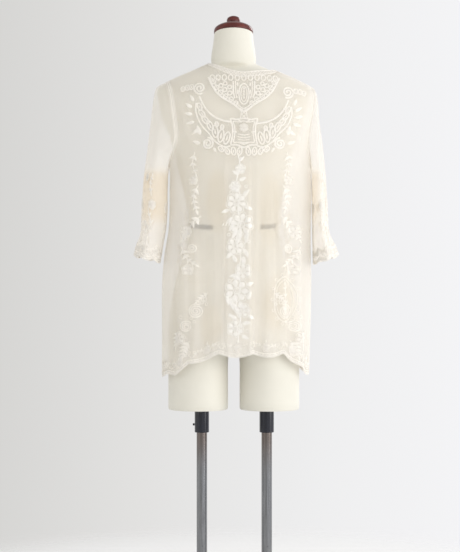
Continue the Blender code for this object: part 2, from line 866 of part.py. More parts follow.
def neck_top(wood):
    foot = (FORM_CENTRE, 0.0, NECK[-1][0])
    turned("neck_cap", CAP_PROFILE[1:], foot, wood, lean=NECK_TILT)
    turned("knob", KNOB_PROFILE[1:], foot, wood, KNOB_SIDES, NECK_TILT)


def stand(steel, dark, plate_steel):
    for hand, name in ((-1, "left"), (1, "right")):
        x = hand * POLE_X
        top = STUB_BOTTOM - SEAM_GAP
        under = top - PLATE_THICK
        cylinder("plate_" + name, PLATE_RADIUS, under, top, x, POLE_Y, plate_steel)
        collar_top = under - SEAM_GAP
        cylinder(
            "collar_" + name, COLLAR_RADIUS, COLLAR_BOTTOM, collar_top, x, POLE_Y, dark, COLLAR_BEVEL
        )
        pole_top = COLLAR_BOTTOM - SEAM_GAP
        socket_foot = BASE_THICK + SEAM_GAP
        socket_top = socket_foot + SOCKET_HEIGHT
        cylinder("pole_" + name, POLE_RADIUS, socket_top + SEAM_GAP, pole_top, x, POLE_Y, steel)
        cylinder(
            "socket_" + name, SOCKET_RADIUS, socket_foot, socket_top, x, POLE_Y, dark, SOCKET_BEVEL
        )
        screw_turn = math.pi / 2 if hand < 0 else -math.pi
        reach = COLLAR_RADIUS + SEAM_GAP + SCREW_LENGTH / 2
        peg("screw_" + name, SCREW_RADIUS, SCREW_LENGTH, x, reach, screw_turn, SCREW_HEIGHT, dark)
        reach = POLE_RADIUS + SEAM_GAP + PIN_LENGTH / 2
        peg("pin_" + name, PIN_RADIUS, PIN_LENGTH, x, reach, -PIN_TURN, PIN_HEIGHT, steel)


# A small level peg that stands out from an upright; turn 0 points behind, a quarter points left
def peg(name, radius, length, x, reach, turn, height, finish):
    mesh = bpy.data.meshes.new(name)
    work = bmesh.new()
    bmesh.ops.create_cone(
        work, cap_ends=True, segments=SCREW_SIDES, radius1=radius, radius2=radius, depth=length
    )
    work.to_mesh(mesh)
    work.free()
    mesh.materials.append(finish)
    made = bpy.data.objects.new(name, mesh)
    made.location = (x - reach * math.sin(turn), POLE_Y - reach * math.cos(turn), height)
    made.rotation_euler = (math.pi / 2, 0.0, -turn)
    bpy.context.scene.collection.objects.link(made)
    return made


def base_plate(finish):
    outline = []
    for quarter, (sx, sy) in enumerate(((1, 1), (-1, 1), (-1, -1), (1, -1))):
        cx = sx * (BASE_WIDTH / 2 - BASE_ROUND)
        cy = POLE_Y + sy * (BASE_DEPTH / 2 - BASE_ROUND)
        for step in range(BASE_CORNER_STEPS + 1):
            turn = math.pi / 2 * (quarter + step / BASE_CORNER_STEPS)
            outline.append((cx + BASE_ROUND * math.cos(turn), cy + BASE_ROUND * math.sin(turn)))
    count = len(outline)
    points = [(x, y, 0.0) for x, y in outline] + [(x, y, BASE_THICK) for x, y in outline]
    faces = [tuple(range(count - 1, -1, -1)), tuple(range(count, 2 * count))]
    for step in range(count):
        after = (step + 1) % count
        faces.append((step, after, count + after, count + step))
    return solid("base", points, faces, finish, smooth=False)


clear_scene()
tulle = material("embroidered_tulle", (0.86, 0.83, 0.76), 0.80)
raised = material("raised_embroidery", (0.90, 0.86, 0.78), 0.75)
jersey = material("form_cover", (0.84, 0.81, 0.70), 0.85)
tape = material("waist_tape", (0.10, 0.10, 0.10), 0.70)
wood = material("stained_wood", (0.16, 0.03, 0.02), 0.30)
steel = material("brushed_pole", (0.35, 0.35, 0.36), 0.25, 1.0)
dark = material("black_collar", (0.012, 0.013, 0.020), 0.25)
plate_steel = material("base_steel", (0.30, 0.30, 0.31), 0.45, 1.0)

back_panel = gown(tulle)
yoke(back_panel, raised)
dress_form(jersey)
waist_tape(tape)
neck_top(wood)
stand(steel, dark, plate_steel)
base_plate(plate_steel)
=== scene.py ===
# Looks of the embroidered mesh gown on its dress form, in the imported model's own frame.
# Metres, +Z up; the gown's back faces -Y, towards the camera.
import bisect
import functools
import json
import math

import bmesh
import bpy
import numpy as np
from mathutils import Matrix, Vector

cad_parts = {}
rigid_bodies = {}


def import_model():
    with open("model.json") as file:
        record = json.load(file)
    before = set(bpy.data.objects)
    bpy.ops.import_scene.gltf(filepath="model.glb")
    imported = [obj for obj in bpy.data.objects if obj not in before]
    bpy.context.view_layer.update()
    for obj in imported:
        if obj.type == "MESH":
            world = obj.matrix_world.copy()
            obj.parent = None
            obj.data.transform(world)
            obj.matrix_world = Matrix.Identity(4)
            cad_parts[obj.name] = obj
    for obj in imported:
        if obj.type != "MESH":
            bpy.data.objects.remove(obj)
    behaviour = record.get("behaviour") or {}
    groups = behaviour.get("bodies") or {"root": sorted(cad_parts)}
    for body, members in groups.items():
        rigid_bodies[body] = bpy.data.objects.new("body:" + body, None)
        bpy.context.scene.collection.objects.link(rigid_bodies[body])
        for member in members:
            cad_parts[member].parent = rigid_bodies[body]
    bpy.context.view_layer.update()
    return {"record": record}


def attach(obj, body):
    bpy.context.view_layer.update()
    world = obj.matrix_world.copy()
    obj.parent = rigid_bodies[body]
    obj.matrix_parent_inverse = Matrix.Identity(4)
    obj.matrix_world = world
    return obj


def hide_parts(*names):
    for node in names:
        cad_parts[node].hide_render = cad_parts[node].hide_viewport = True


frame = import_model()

COLLECTION = bpy.context.scene.collection

# Camera of the photograph: focal length in picture heights times the sensor
CAMERA_PLACE = (-0.0113, -4.3, 0.83)
SENSOR = 36.0
LENS = 1634.0 / 552.0 * SENSOR

# Grids of the cloth
ARCH_ROWS = 24
PLAIN_ROWS = 9
ROUND_ROWS = 12
SKIRT_ROWS = 130
BACK_COLUMNS = 180
FRONT_COLUMNS = 64
SLEEVE_ROWS = 110

# Light: tones of the surround by direction, from left to right
WALL_TONES = (
    (0.00, (0.86, 0.855, 0.84)),
    (0.34, (0.74, 0.735, 0.72)),
    (0.43, (0.675, 0.67, 0.655)),
    (0.475, (0.765, 0.76, 0.75)),
    (0.53, (0.865, 0.865, 0.87)),
    (0.57, (0.905, 0.905, 0.92)),
    (0.70, (0.93, 0.93, 0.945)),
    (1.00, (0.93, 0.93, 0.945)),
)

# Lights: name, place, aim, size in metres, power in watts, colour
LIGHTS = (
    ("key", (1.45, -2.3, 1.1), (0.0, 0.0, 0.95), 1.4, 19.0, (1.0, 0.985, 0.97)),
    ("fill", (-0.6, -4.0, 2.6), (0.0, 0.0, 1.0), 2.4, 6.0, (1.0, 0.985, 0.965)),
    ("rear", (2.6, 2.8, 2.8), (0.0, 0.0, 0.95), 1.8, 42.0, (1.0, 0.985, 0.97)),
    ("side", (3.4, -1.6, 1.4), (0.0, 0.0, 0.95), 2.6, 46.0, (1.0, 0.995, 0.99)),
    ("left", (-3.6, -1.2, 1.4), (0.0, 0.0, 0.95), 2.6, 16.0, (1.0, 0.99, 0.97)),
)

# Surround behind the camera and ahead of it, and the floor with its fading edge
BEHIND_CAMERA = 0.98
WORLD_STRENGTH = 1.0
FLOOR_RADIUS = 1.25
FLOOR_FADE = (0.45, 0.98)
FLOOR_DROP = -0.0006

# Net: cells a metre, and how much of the light a thread, a hole and dense stitching stop
NET_CELLS = 620.0
THREAD_EDGE = (0.06, 0.16)
THREAD_COVER = 0.95
HOLE_COVER = 0.30
BODY_DENSE = 0.36
LOW_DENSE = 0.30
SIDE_SHEER = 0.28
SIDE_START = 0.125
SLEEVE_SHEER = 0.06
SLEEVE_DENSE = 0.48
DENSE_COVER = 0.90

# Share of the light from behind that the cloth and the cords pass on
TULLE_THROUGH = 0.52
CORD_THROUGH = 0.22

# Tones of the materials, by share of a noise
TULLE_TONES = ((0.30, (0.955, 0.918, 0.858)), (0.55, (0.970, 0.938, 0.884)), (0.75, (0.980, 0.950, 0.900)))
COVER_TONES = ((0.30, (0.662, 0.640, 0.560)), (0.70, (0.701, 0.679, 0.600)))
WOOD_TONES = ((0.25, (0.040, 0.008, 0.007)), (0.50, (0.095, 0.018, 0.014)), (0.72, (0.155, 0.034, 0.025)))
TAPE_TONES = ((0.2, (0.012, 0.012, 0.013)), (0.8, (0.035, 0.035, 0.036)))
WARM_TONE = (0.93, 0.84, 0.70)
STITCH_TONES = ((0.860, 0.827, 0.768), (0.922, 0.892, 0.838))
SATIN_TONES = ((0.890, 0.868, 0.822), (0.948, 0.929, 0.888))

# Embroidery round the sides: where flat places start to be measured round, and where they end
EDGE_SHARE = 0.80
SEAM_TURN = 1.539
LEVEL_STEP = 0.005

# Seams and clearances
SEAM_GAP = 0.0003
HALF_GAP = SEAM_GAP / 2
SLEEVE_GAP = 0.0005
UNDERARM = 1.120
ARCH_BACK = 0.090
ARCH_FRONT = 0.110
ROUND_BOTTOM = 0.075
SIDE_POWER = 2.3

# Body of the gown, by height: centre, half width, depth behind, depth in front
BODY = (
    ("height", "centre", "width", "back", "front"),
    (0.540, 0.0025, 0.1920, 0.130, 0.126),
    (0.700, 0.0050, 0.1940, 0.127, 0.124),
    (0.800, 0.0060, 0.1950, 0.122, 0.124),
    (0.890, 0.0090, 0.1910, 0.116, 0.125),
    (0.950, 0.0140, 0.1860, 0.113, 0.126),
    (1.050, 0.0165, 0.1855, 0.112, 0.127),
    (1.120, 0.0150, 0.1860, 0.112, 0.127),
    (1.160, 0.0100, 0.1970, 0.111, 0.122),
    (1.200, 0.0050, 0.2080, 0.108, 0.114),
    (1.250, 0.0000, 0.2200, 0.102, 0.102),
    (1.300, 0.0000, 0.2260, 0.094, 0.088),
    (1.400, 0.0000, 0.2300, 0.082, 0.066),
)

# Top of the shoulders, by distance from the form's axis
RIDGE = (
    ("distance", "height"),
    (0.000, 1.3970),
    (0.050, 1.3935),
    (0.065, 1.3890),
    (0.110, 1.3695),
    (0.160, 1.3480),
    (0.190, 1.3330),
    (0.210, 1.3210),
    (0.240, 1.2980),
)

# Armhole seams, by height: the gown sits a little towards the right shoulder
ARMHOLE = (
    ("height", "left", "right"),
    (1.120, -0.1500, 0.1880),
    (1.198, -0.1510, 0.1940),
    (1.248, -0.1560, 0.2020),
    (1.277, -0.1600, 0.2070),
    (1.308, -0.1650, 0.2080),
    (1.340, -0.1750, 0.2035),
)

# Neck edge: ends on the shoulder seam, and how far down the back's arch the middle lies
NECK_LEFT = -0.0700
NECK_RIGHT = 0.1100
NECK_DROP = 0.81
NECK_LEVEL = 1.37
FRONT_EDGE_END = 1.38

# Front edges, by height: distance from the body's centre
FRONT_EDGE = (
    ("height", "distance"),
    (0.540, 0.0330),
    (1.000, 0.0350),
    (1.180, 0.0400),
    (1.270, 0.0560),
    (1.340, 0.0780),
    (1.3895, 0.0900),
)

# Hem of the back and of the fronts, by angle round the body, before its scallops
HEM_BACK = (
    ("degrees", "height"),
    (-90, 0.580),
    (-64, 0.580),
    (-51, 0.590),
    (-38, 0.608),
    (-25, 0.626),
    (-12, 0.634),
    (12, 0.634),
    (38, 0.634),
    (51, 0.619),
    (64, 0.597),
    (90, 0.579),
)
HEM_FRONT = (
    ("degrees", "height"),
    (0, 0.606),
    (30, 0.600),
    (60, 0.588),
    (90, 0.5795),
)
HEM_SCALLOPS = 7
HEM_SCALLOP = 0.010

# Folds that hang from the shoulder blades and the bust, by angle round the body
BACK_FOLDS = (
    ("degrees", "spread", "depth", "top"),
    (-72, 7, 0.0050, 0.98),
    (-55, 6, -0.0045, 1.08),
    (-42, 7, 0.0065, 1.16),
    (-27, 6, -0.0050, 1.02),
    (-8, 8, 0.0050, 0.98),
    (9, 7, 0.0060, 1.16),
    (17, 4, -0.0070, 1.17),
    (30, 8, 0.0035, 0.92),
    (44, 6, -0.0055, 1.10),
    (56, 6, 0.0060, 1.14),
    (72, 7, -0.0045, 0.96),
)
FRONT_FOLDS = (
    ("degrees", "spread", "depth", "top"),
    (22, 6, 0.0060, 1.12),
    (33, 5, -0.0055, 1.06),
    (46, 7, 0.0065, 1.10),
    (60, 6, -0.0050, 1.00),
    (74, 6, 0.0050, 0.96),
)
FOLD_LENGTH = 0.34

# Sleeves, from armhole to cuff: outer and inner line, and half depth front to back
SLEEVE_LEFT = (
    ("run", "out_x", "out_z", "in_x", "in_z", "depth"),
    (0.00, -0.1740, 1.3400, -0.1716, 1.1200, 0.070),
    (0.08, -0.2030, 1.3240, -0.1740, 1.1130, 0.072),
    (0.16, -0.2120, 1.2900, -0.1752, 1.0980, 0.074),
    (0.28, -0.2190, 1.2400, -0.1760, 1.0760, 0.075),
    (0.42, -0.2290, 1.1640, -0.1765, 1.0420, 0.076),
    (0.58, -0.2400, 1.0850, -0.1766, 1.0020, 0.076),
    (0.74, -0.2460, 1.0000, -0.1800, 0.9560, 0.077),
    (0.88, -0.2490, 0.9400, -0.1880, 0.9100, 0.082),
    (1.00, -0.2600, 0.8890, -0.1945, 0.8730, 0.090),
)
SLEEVE_RIGHT = (
    ("run", "out_x", "out_z", "in_x", "in_z", "depth"),
    (0.00, 0.2035, 1.3255, 0.2016, 1.1200, 0.060),
    (0.08, 0.2110, 1.3160, 0.2038, 1.1130, 0.064),
    (0.16, 0.2170, 1.2900, 0.2048, 1.0980, 0.068),
    (0.28, 0.2225, 1.2400, 0.2052, 1.0760, 0.074),
    (0.42, 0.2330, 1.1640, 0.2056, 1.0420, 0.080),
    (0.58, 0.2400, 1.0850, 0.2058, 1.0020, 0.084),
    (0.74, 0.2445, 1.0000, 0.2060, 0.9560, 0.086),
    (0.88, 0.2490, 0.9400, 0.2070, 0.9100, 0.089),
    (1.00, 0.2660, 0.8880, 0.2080, 0.8690, 0.094),
)
SLEEVE_SETTLE = 0.34
CUFF_SCALLOPS = 6
CUFF_SCALLOP = 0.007
CUFF_WAVE = 0.006
CUFF_WAVES = 5
SLEEVE_FOLDS = 0.0030
FOLD_START = 0.15
FOLD_GROWTH = 0.5
CUFF_START = 0.84
CUFF_LENGTH = 0.16

# Middle line of the yoke embroidery on the back
MOTIF_CENTRE = 0.0242

# Dress form, by height: half width, depth behind, depth in front
FORM_CENTRE = -0.0020
FORM = (
    ("height", "width", "back", "front"),
    (0.688, 0.1715, 0.106, 0.096),
    (0.730, 0.1680, 0.108, 0.098),
    (0.780, 0.1600, 0.104, 0.100),
    (0.830, 0.1480, 0.096, 0.101),
    (0.880, 0.1330, 0.086, 0.098),
    (0.925, 0.1200, 0.078, 0.092),
    (0.962, 0.1170, 0.074, 0.088),
    (1.000, 0.1210, 0.075, 0.090),
    (1.060, 0.1340, 0.083, 0.104),
    (1.120, 0.1480, 0.092, 0.117),
    (1.180, 0.1620, 0.098, 0.110),
    (1.230, 0.1820, 0.096, 0.098),
    (1.280, 0.1960, 0.088, 0.083),
    (1.320, 0.2010, 0.077, 0.070),
    (1.380, 0.2030, 0.062, 0.058),
)
FORM_INSET = 0.0045

NECK = (
    ("height", "width", "back", "front"),
    (1.3870, 0.0600, 0.0420, 0.0430),
    (1.398, 0.0590, 0.0440, 0.0450),
    (1.416, 0.0575, 0.0465, 0.0475),
    (1.440, 0.0535, 0.0475, 0.0475),
    (1.4665, 0.0506, 0.0480, 0.0480),
)

NECK_TILT = math.radians(12)

# Thigh stubs under the form
THIGH_CENTRES = (-0.0950, 0.0925)
THIGH_WIDTH = 0.0785
THIGH_DEPTH = 0.0860
THIGH_LEVELS = (0.665, 0.640, 0.600, 0.540, 0.4840, 0.4800)

# Waist tape
TAPE_HEIGHT = 0.0110
TAPE_THICK = 0.0010
TAPE_MIDDLE = 0.9620
TAPE_DIP = 0.0080
TAPE_TURN = 0.8

# Turned wooden cap and knob on the neck: radius and height above the neck's end
CAP_PROFILE = (
    ("radius", "height"),
    (0.0000, 0.0004),
    (0.0500, 0.0004),
    (0.0514, 0.0025),
    (0.0514, 0.0090),
    (0.0492, 0.0140),
    (0.0430, 0.0188),
    (0.0340, 0.0228),
    (0.0240, 0.0254),
    (0.0165, 0.0265),
    (0.0000, 0.0265),
)
KNOB_PROFILE = (
    ("radius", "height"),
    (0.0000, 0.0269),
    (0.0158, 0.0269),
    (0.0170, 0.0300),
    (0.0179, 0.0350),
    (0.0176, 0.0395),
    (0.0155, 0.0440),
    (0.0100, 0.0474),
    (0.0000, 0.0484),
)

# Heights of the form's rings
FORM_LEVELS = (
    0.688, 0.72, 0.76, 0.80, 0.84, 0.88, 0.92, 0.962, 1.00, 1.04, 1.08, 1.12,
    1.16, 1.20, 1.235, 1.265, 1.29, 1.31, 1.325, 1.340, 1.354, 1.367, 1.378,
)

# Form: sides of a ring, rings put between each two levels, and the line between the thighs
FORM_SIDES = 96
FORM_PARTS = 3
SHARP_EDGE = math.radians(40)
TURNED_PARTS = 4
THIGH_LINE = 18
THIGH_SAG = 0.020
THIGH_BLEND = 3
THIGH_END = 0.975

# Waist tape: how far its underside lies off the form, and its section, as shares of its size
TAPE_LOW = 0.0006
TAPE_SECTION = ((0.5, 0.0), (0.5, 1.0), (0.42, 1.25), (-0.42, 1.25), (-0.5, 1.0), (-0.5, 0.0))

# Dense stitching on the back: the middle column, and patches that hide the waist tape
COLUMN_LEFT = -0.0290
COLUMN_RIGHT = 0.0440
COLUMN_TOP = 1.1600
COLUMN_DENSE = 0.35
BACK_PATCHES = (
    ("across", "height", "wide", "tall", "most"),
    (0.0100, 0.9700, 0.0400, 0.0700, 0.45),
)

# Clearer net on the back, over the left end of the waist tape
CLEAR_PATCHES = (
    ("across", "height", "wide", "tall", "less"),
    (-0.0850, 0.9580, 0.0320, 0.0160, 0.20),
)

# Warm backing: its strength on the lower sleeves and where it ends, then patches on the back
PATCH_REACH = 1.3
SLEEVE_BAND = 1.118
SLEEVE_WARM = 0.85
WARM_RIGHT = 0.2280
WARM_LEFT = -0.2500
WARM_PATCHES = (
    ("across", "height", "wide", "tall", "most"),
    (-0.045, 1.020, 0.030, 0.085, 0.35), (0.090, 1.000, 0.034, 0.100, 0.35),
    (0.110, 0.760, 0.040, 0.075, 0.30), (-0.060, 0.700, 0.030, 0.060, 0.25),
)

# Casing over the waist tape, by turns round the form in degrees, from the middle of the back
CASINGS = ((-27, 36), (68, 150), (-150, -76))
CASING_HEIGHT = 0.0190
CASING_THICK = 0.0012
CASING_RISE = TAPE_LOW + TAPE_THICK * 1.25 + 0.0002 + CASING_THICK * 0.3
CASING_END = 0.75
CASING_SECTION = (
    (0.56, 0.0), (0.50, 0.45), (0.36, 0.90), (0.12, 1.0),
    (-0.12, 1.0), (-0.36, 0.90), (-0.50, 0.45), (-0.56, 0.0),
)

# Finer creases of the back and of the fronts: where each starts and ends, and its size
HEM_REACH = 0.565
CREASE_BOW = 0.0022
BACK_CREASES = (
    ("top x", "top z", "low x", "low z", "wide", "height"),
    (-0.128, 1.080, -0.148, 0.520, 0.0085, 0.0034), (-0.112, 1.130, -0.122, 0.520, 0.0060, -0.0028),
    (-0.150, 1.050, -0.168, 0.520, 0.0060, -0.0026), (-0.096, 1.170, -0.102, 0.520, 0.0075, 0.0034),
    (-0.070, 1.100, -0.078, 0.520, 0.0060, -0.0012), (-0.050, 1.020, -0.052, 0.520, 0.0080, 0.0016),
    (-0.022, 1.150, -0.026, 0.520, 0.0050, -0.0022), (0.008, 1.000, 0.004, 0.520, 0.0070, 0.0018),
    (0.036, 1.160, 0.038, 0.520, 0.0060, 0.0034), (0.050, 1.160, 0.051, 0.520, 0.0045, -0.0026),
    (0.082, 1.060, 0.086, 0.520, 0.0080, 0.0026), (0.102, 1.120, 0.112, 0.520, 0.0060, -0.0026),
    (0.122, 1.160, 0.134, 0.520, 0.0080, 0.0034), (0.142, 1.080, 0.154, 0.520, 0.0055, -0.0026),
    (0.160, 1.040, 0.172, 0.520, 0.0060, 0.0026),
    (-0.140, 1.270, -0.104, 1.130, 0.0060, 0.0024), (-0.150, 1.235, -0.120, 1.100, 0.0050, -0.0016),
    (-0.128, 1.300, -0.096, 1.180, 0.0050, 0.0016), (0.192, 1.250, 0.150, 1.110, 0.0060, 0.0022),
    (0.185, 1.290, 0.148, 1.160, 0.0050, 0.0016), (0.182, 1.215, 0.160, 1.090, 0.0050, -0.0014),
)
FRONT_CREASES = (
    ("top x", "top z", "low x", "low z", "wide", "height"),
    (-0.150, 1.060, -0.162, 0.520, 0.0070, 0.0032), (-0.128, 1.110, -0.134, 0.520, 0.0060, -0.0028),
    (-0.106, 1.080, -0.112, 0.520, 0.0075, 0.0032), (-0.080, 1.140, -0.084, 0.520, 0.0060, -0.0024),
    (-0.056, 1.050, -0.058, 0.520, 0.0070, 0.0026), (0.066, 1.100, 0.070, 0.520, 0.0070, 0.0030),
    (0.090, 1.060, 0.094, 0.520, 0.0060, -0.0026), (0.112, 1.130, 0.120, 0.520, 0.0080, 0.0034),
    (0.138, 1.050, 0.146, 0.520, 0.0060, -0.0028), (0.160, 1.090, 0.170, 0.520, 0.0065, 0.0028),
    (-0.138, 1.260, -0.112, 1.120, 0.0055, 0.0020), (0.186, 1.240, 0.146, 1.110, 0.0055, 0.0020),
    (-0.120, 1.230, -0.098, 1.100, 0.0050, 0.0014), (0.164, 1.220, 0.134, 1.100, 0.0050, 0.0014),
)

# Stitching: cross-section of a cord and how far it lies off the cloth
CORD_PROFILE = ((-1.0, 0.0), (-0.66, 0.72), (0.0, 1.0), (0.66, 0.72), (1.0, 0.0))
CORD_LIFT = 0.0001
STITCH_STEP = 0.0022

# Motifs: petals across and their groove, a flower's heart, the eye of a spiral, leaves off a stem
PETAL_COLUMNS = 6
PETAL_GROOVE = 0.22
GROOVE_WIDE = 0.16
FLOWER_HEART = 0.28
SMALL_FLOWER = 0.010
SPIRAL_END = 0.0024
LEAF_TURN = 0.85

# Edgings: small loops along an edge, and the band of rings inside it
PICOT_PITCH = 0.0052
EDGE_BAND = 0.0065
SEAM_STEP = 0.004
HEM_FLOWERS_BACK = 7
HEM_FLOWERS_FRONT = 4
CUFF_FLOWERS = 9
CUFF_SPRAYS = 6
CUFF_LEAN = 0.018

# Yoke embroidery, across from its middle line and by height; angles rise from level
YOKE_DIP = 0.0090
DIP_START = 1.18
DIP_LENGTH = 0.1
SQUARE_MIDDLE = 1.1990
YOKE_RINGS = (
    ("across", "height", "radius"),
    (0.0205, 1.2750, 0.0050), (0.0330, 1.2850, 0.0056), (0.0470, 1.2930, 0.0058),
    (0.0600, 1.3030, 0.0058), (0.0700, 1.3160, 0.0056), (0.0775, 1.3305, 0.0052),
    (0.0365, 1.3010, 0.0052), (0.0490, 1.3100, 0.0054), (0.0590, 1.3210, 0.0050),
    (0.0365, 1.3170, 0.0050), (0.0480, 1.3265, 0.0046),
)
NECK_RINGS = (0.0, 0.0170, 0.0340, 0.0505, 0.0665, 0.0815)
NECK_RING_LINE = 1.3425
YOKE_PETALS = (
    ("across", "height", "long", "wide", "degrees"),
    (0.0160, 1.2980, 0.0130, 0.0050, 88), (0.0160, 1.3190, 0.0110, 0.0048, 88),
    (0.0640, 1.3320, 0.0090, 0.0046, 70), (0.0275, 1.2990, 0.0090, 0.0044, 60),
)
COLLAR_OUTLINE = (
    (0.0, 1.2520), (0.010, 1.2580), (0.024, 1.2700), (0.040, 1.2800), (0.058, 1.2910),
    (0.072, 1.3050), (0.082, 1.3220), (0.092, 1.3440),
)
COLLAR_INNER = (
    (0.0, 1.2600), (0.009, 1.2650), (0.022, 1.2765), (0.038, 1.2868), (0.054, 1.2975),
    (0.066, 1.3105), (0.075, 1.3260), (0.083, 1.3420),
)
COLLAR_RIM = ((0.0280, 1.3330), (0.0275, 1.3180), (0.0270, 1.3020), (0.0235, 1.2870))
RIM_BAND = 0.0062
CENTRE_LEAVES = (1.2850, 1.2930, 1.3010, 1.3090)
CENTRE_CORD = ((0.0085, 1.2620), (0.0070, 1.2500), (0.0085, 1.2380), (0.0140, 1.2310))
SQUARE_OUTLINE = (
    (0.0000, 0.0360), (0.0180, 0.0330), (0.0340, 0.0350), (0.0300, 0.0180), (0.0290, 0.0000),
    (0.0310, -0.0180), (0.0330, -0.0320), (0.0180, -0.0330), (0.0000, -0.0390),
    (-0.0180, -0.0330), (-0.0330, -0.0320), (-0.0310, -0.0180), (-0.0290, 0.0000),
    (-0.0300, 0.0180), (-0.0340, 0.0350), (-0.0180, 0.0330),
)
BIB_LINE = (
    (0.0340, 1.2260), (0.0520, 1.2290), (0.0700, 1.2360), (0.0860, 1.2470),
    (0.0980, 1.2600), (0.1070, 1.2750), (0.1150, 1.2930),
)
BIB_EDGE = (
    (0.0340, 1.1640), (0.0480, 1.1610), (0.0640, 1.1680), (0.0780, 1.1800), (0.0900, 1.1960),
    (0.1010, 1.2080), (0.1120, 1.2220), (0.1200, 1.2400), (0.1240, 1.2580), (0.1230, 1.2760),
)
BIB_LOOPS = (
    ("across", "height", "long", "wide", "degrees"),
    (0.0440, 1.1840, 0.0320, 0.0140, 106), (0.0590, 1.1900, 0.0330, 0.0145, 100),
    (0.0740, 1.2010, 0.0310, 0.0140, 84), (0.0870, 1.2160, 0.0270, 0.0130, 66),
    (0.0990, 1.2310, 0.0250, 0.0125, 50), (0.1080, 1.2480, 0.0220, 0.0115, 52),
    (0.1140, 1.2660, 0.0200, 0.0105, 66),
    (0.0560, 1.2120, 0.0120, 0.0080, 100), (0.0700, 1.2200, 0.0120, 0.0080, 80),
    (0.0110, 1.1500, 0.0210, 0.0115, 100), (0.0270, 1.1500, 0.0200, 0.0110, 82),
    (0.0430, 1.1505, 0.0180, 0.0105, 64), (0.0590, 1.1555, 0.0160, 0.0095, 48),
    (0.1350, 1.3185, 0.0140, 0.0105, 100), (0.1465, 1.3170, 0.0140, 0.0100, 95),
    (0.1575, 1.3140, 0.0130, 0.0094, 90),
)
BIB_LEAVES = (
    ("across", "height", "long", "wide", "degrees"),
    (0.1290, 1.2800, 0.0200, 0.0085, 62), (0.1330, 1.2640, 0.0210, 0.0088, 32),
    (0.1320, 1.2460, 0.0220, 0.0090, 10), (0.1270, 1.2270, 0.0220, 0.0090, -14),
    (0.1140, 1.2080, 0.0240, 0.0094, -34), (0.1120, 1.1930, 0.0260, 0.0110, 72),
    (0.1120, 1.1700, 0.0220, 0.0092, 20), (0.0780, 1.1600, 0.0150, 0.0068, 240),
)

# Embroidery of the lower back: the middle column, then one side from the middle outwards
COLUMN_X = 0.0095
SIDE_MIDDLE = 0.0165
COLUMN_FULL = 1.22
WAIST_LINE = 0.9580
WAIST_LEAVES = 7
WAIST_START = -0.0310
MEDALLION_RINGS = 14
MEDALLION = (0.1300, 0.7700)
COLUMN_STEM = (
    (0.0000, 1.1450), (0.0040, 1.1100), (-0.0040, 1.0750), (0.0030, 1.0400), (0.0000, 1.0000),
    (0.0050, 0.9600), (-0.0050, 0.9200), (0.0060, 0.8800), (0.0000, 0.8400), (0.0060, 0.8000),
    (-0.0050, 0.7600), (0.0050, 0.7200), (0.0000, 0.6800), (0.0000, 0.6600),
)
COLUMN_FLOWERS = (
    ("across", "height", "radius", "petals", "degrees"),
    (0.0060, 1.1050, 0.0100, 5, 90), (-0.0080, 1.0600, 0.0110, 6, 60),
    (-0.0040, 1.0180, 0.0210, 7, 90), (0.0080, 0.9620, 0.0240, 8, 80),
    (-0.0070, 0.9060, 0.0180, 6, 70), (0.0120, 0.8420, 0.0160, 6, 90),
    (-0.0040, 0.7920, 0.0240, 7, 100), (0.0110, 0.7420, 0.0150, 6, 60),
    (-0.0070, 0.6960, 0.0170, 6, 90),
)
COLUMN_LEAVES = (
    ("across", "height", "long", "wide", "degrees", "bend"),
    (0.0020, 1.1250, 0.018, 0.0070, 40, 0.0), (0.0020, 1.0900, 0.020, 0.0080, 150, 0.0),
    (0.0030, 1.0750, 0.020, 0.0080, 25, 0.0), (-0.0010, 1.0450, 0.022, 0.0085, 130, 0.0),
    (0.0140, 1.0330, 0.024, 0.0090, 50, 0.002), (0.0160, 1.0080, 0.022, 0.0085, -20, 0.0),
    (-0.0230, 1.0000, 0.022, 0.0080, 200, 0.0), (-0.0140, 0.9800, 0.024, 0.0085, 222, 0.0),
    (-0.0100, 0.9660, 0.026, 0.0080, 236, 0.0), (-0.0020, 0.9500, 0.030, 0.0085, 240, 0.0),
    (0.0080, 0.9400, 0.030, 0.0085, 248, 0.0), (0.0220, 0.9400, 0.028, 0.0090, 262, 0.0),
    (0.0110, 0.9000, 0.026, 0.0095, 300, 0.002), (0.0130, 0.8800, 0.024, 0.0090, 270, 0.0),
    (-0.0160, 0.8900, 0.022, 0.0085, 225, 0.0), (-0.0040, 0.8660, 0.022, 0.0085, 120, 0.0),
    (-0.0020, 0.8320, 0.022, 0.0085, 190, 0.0), (0.0060, 0.8220, 0.026, 0.0095, 160, 0.0),
    (0.0190, 0.8060, 0.022, 0.0085, 20, 0.0), (-0.0200, 0.7720, 0.030, 0.0090, 285, 0.0),
    (-0.0290, 0.7800, 0.026, 0.0085, 282, 0.0), (-0.0120, 0.7600, 0.028, 0.0085, 290, 0.0),
    (0.0020, 0.7650, 0.026, 0.0085, 300, 0.0), (0.0210, 0.7700, 0.024, 0.0085, 60, 0.0),
    (0.0240, 0.7300, 0.020, 0.0080, -30, 0.0), (-0.0040, 0.7200, 0.022, 0.0085, 150, 0.0),
    (0.0100, 0.7080, 0.022, 0.0085, 10, 0.0), (0.0080, 0.6780, 0.020, 0.0080, -25, 0.0),
)
COLUMN_RINGS = (
    ("across", "height", "radius"),
    (0.0140, 0.8680, 0.0046), (0.0230, 0.8560, 0.0040), (0.0000, 0.8560, 0.0036),
    (-0.0180, 1.0450, 0.0036), (0.0200, 1.0600, 0.0036), (-0.0240, 0.9360, 0.0036),
    (0.0260, 0.9180, 0.0036), (-0.0220, 0.8180, 0.0036), (0.0260, 0.7860, 0.0036),
    (-0.0200, 0.7300, 0.0036), (0.0220, 0.6900, 0.0036),
)
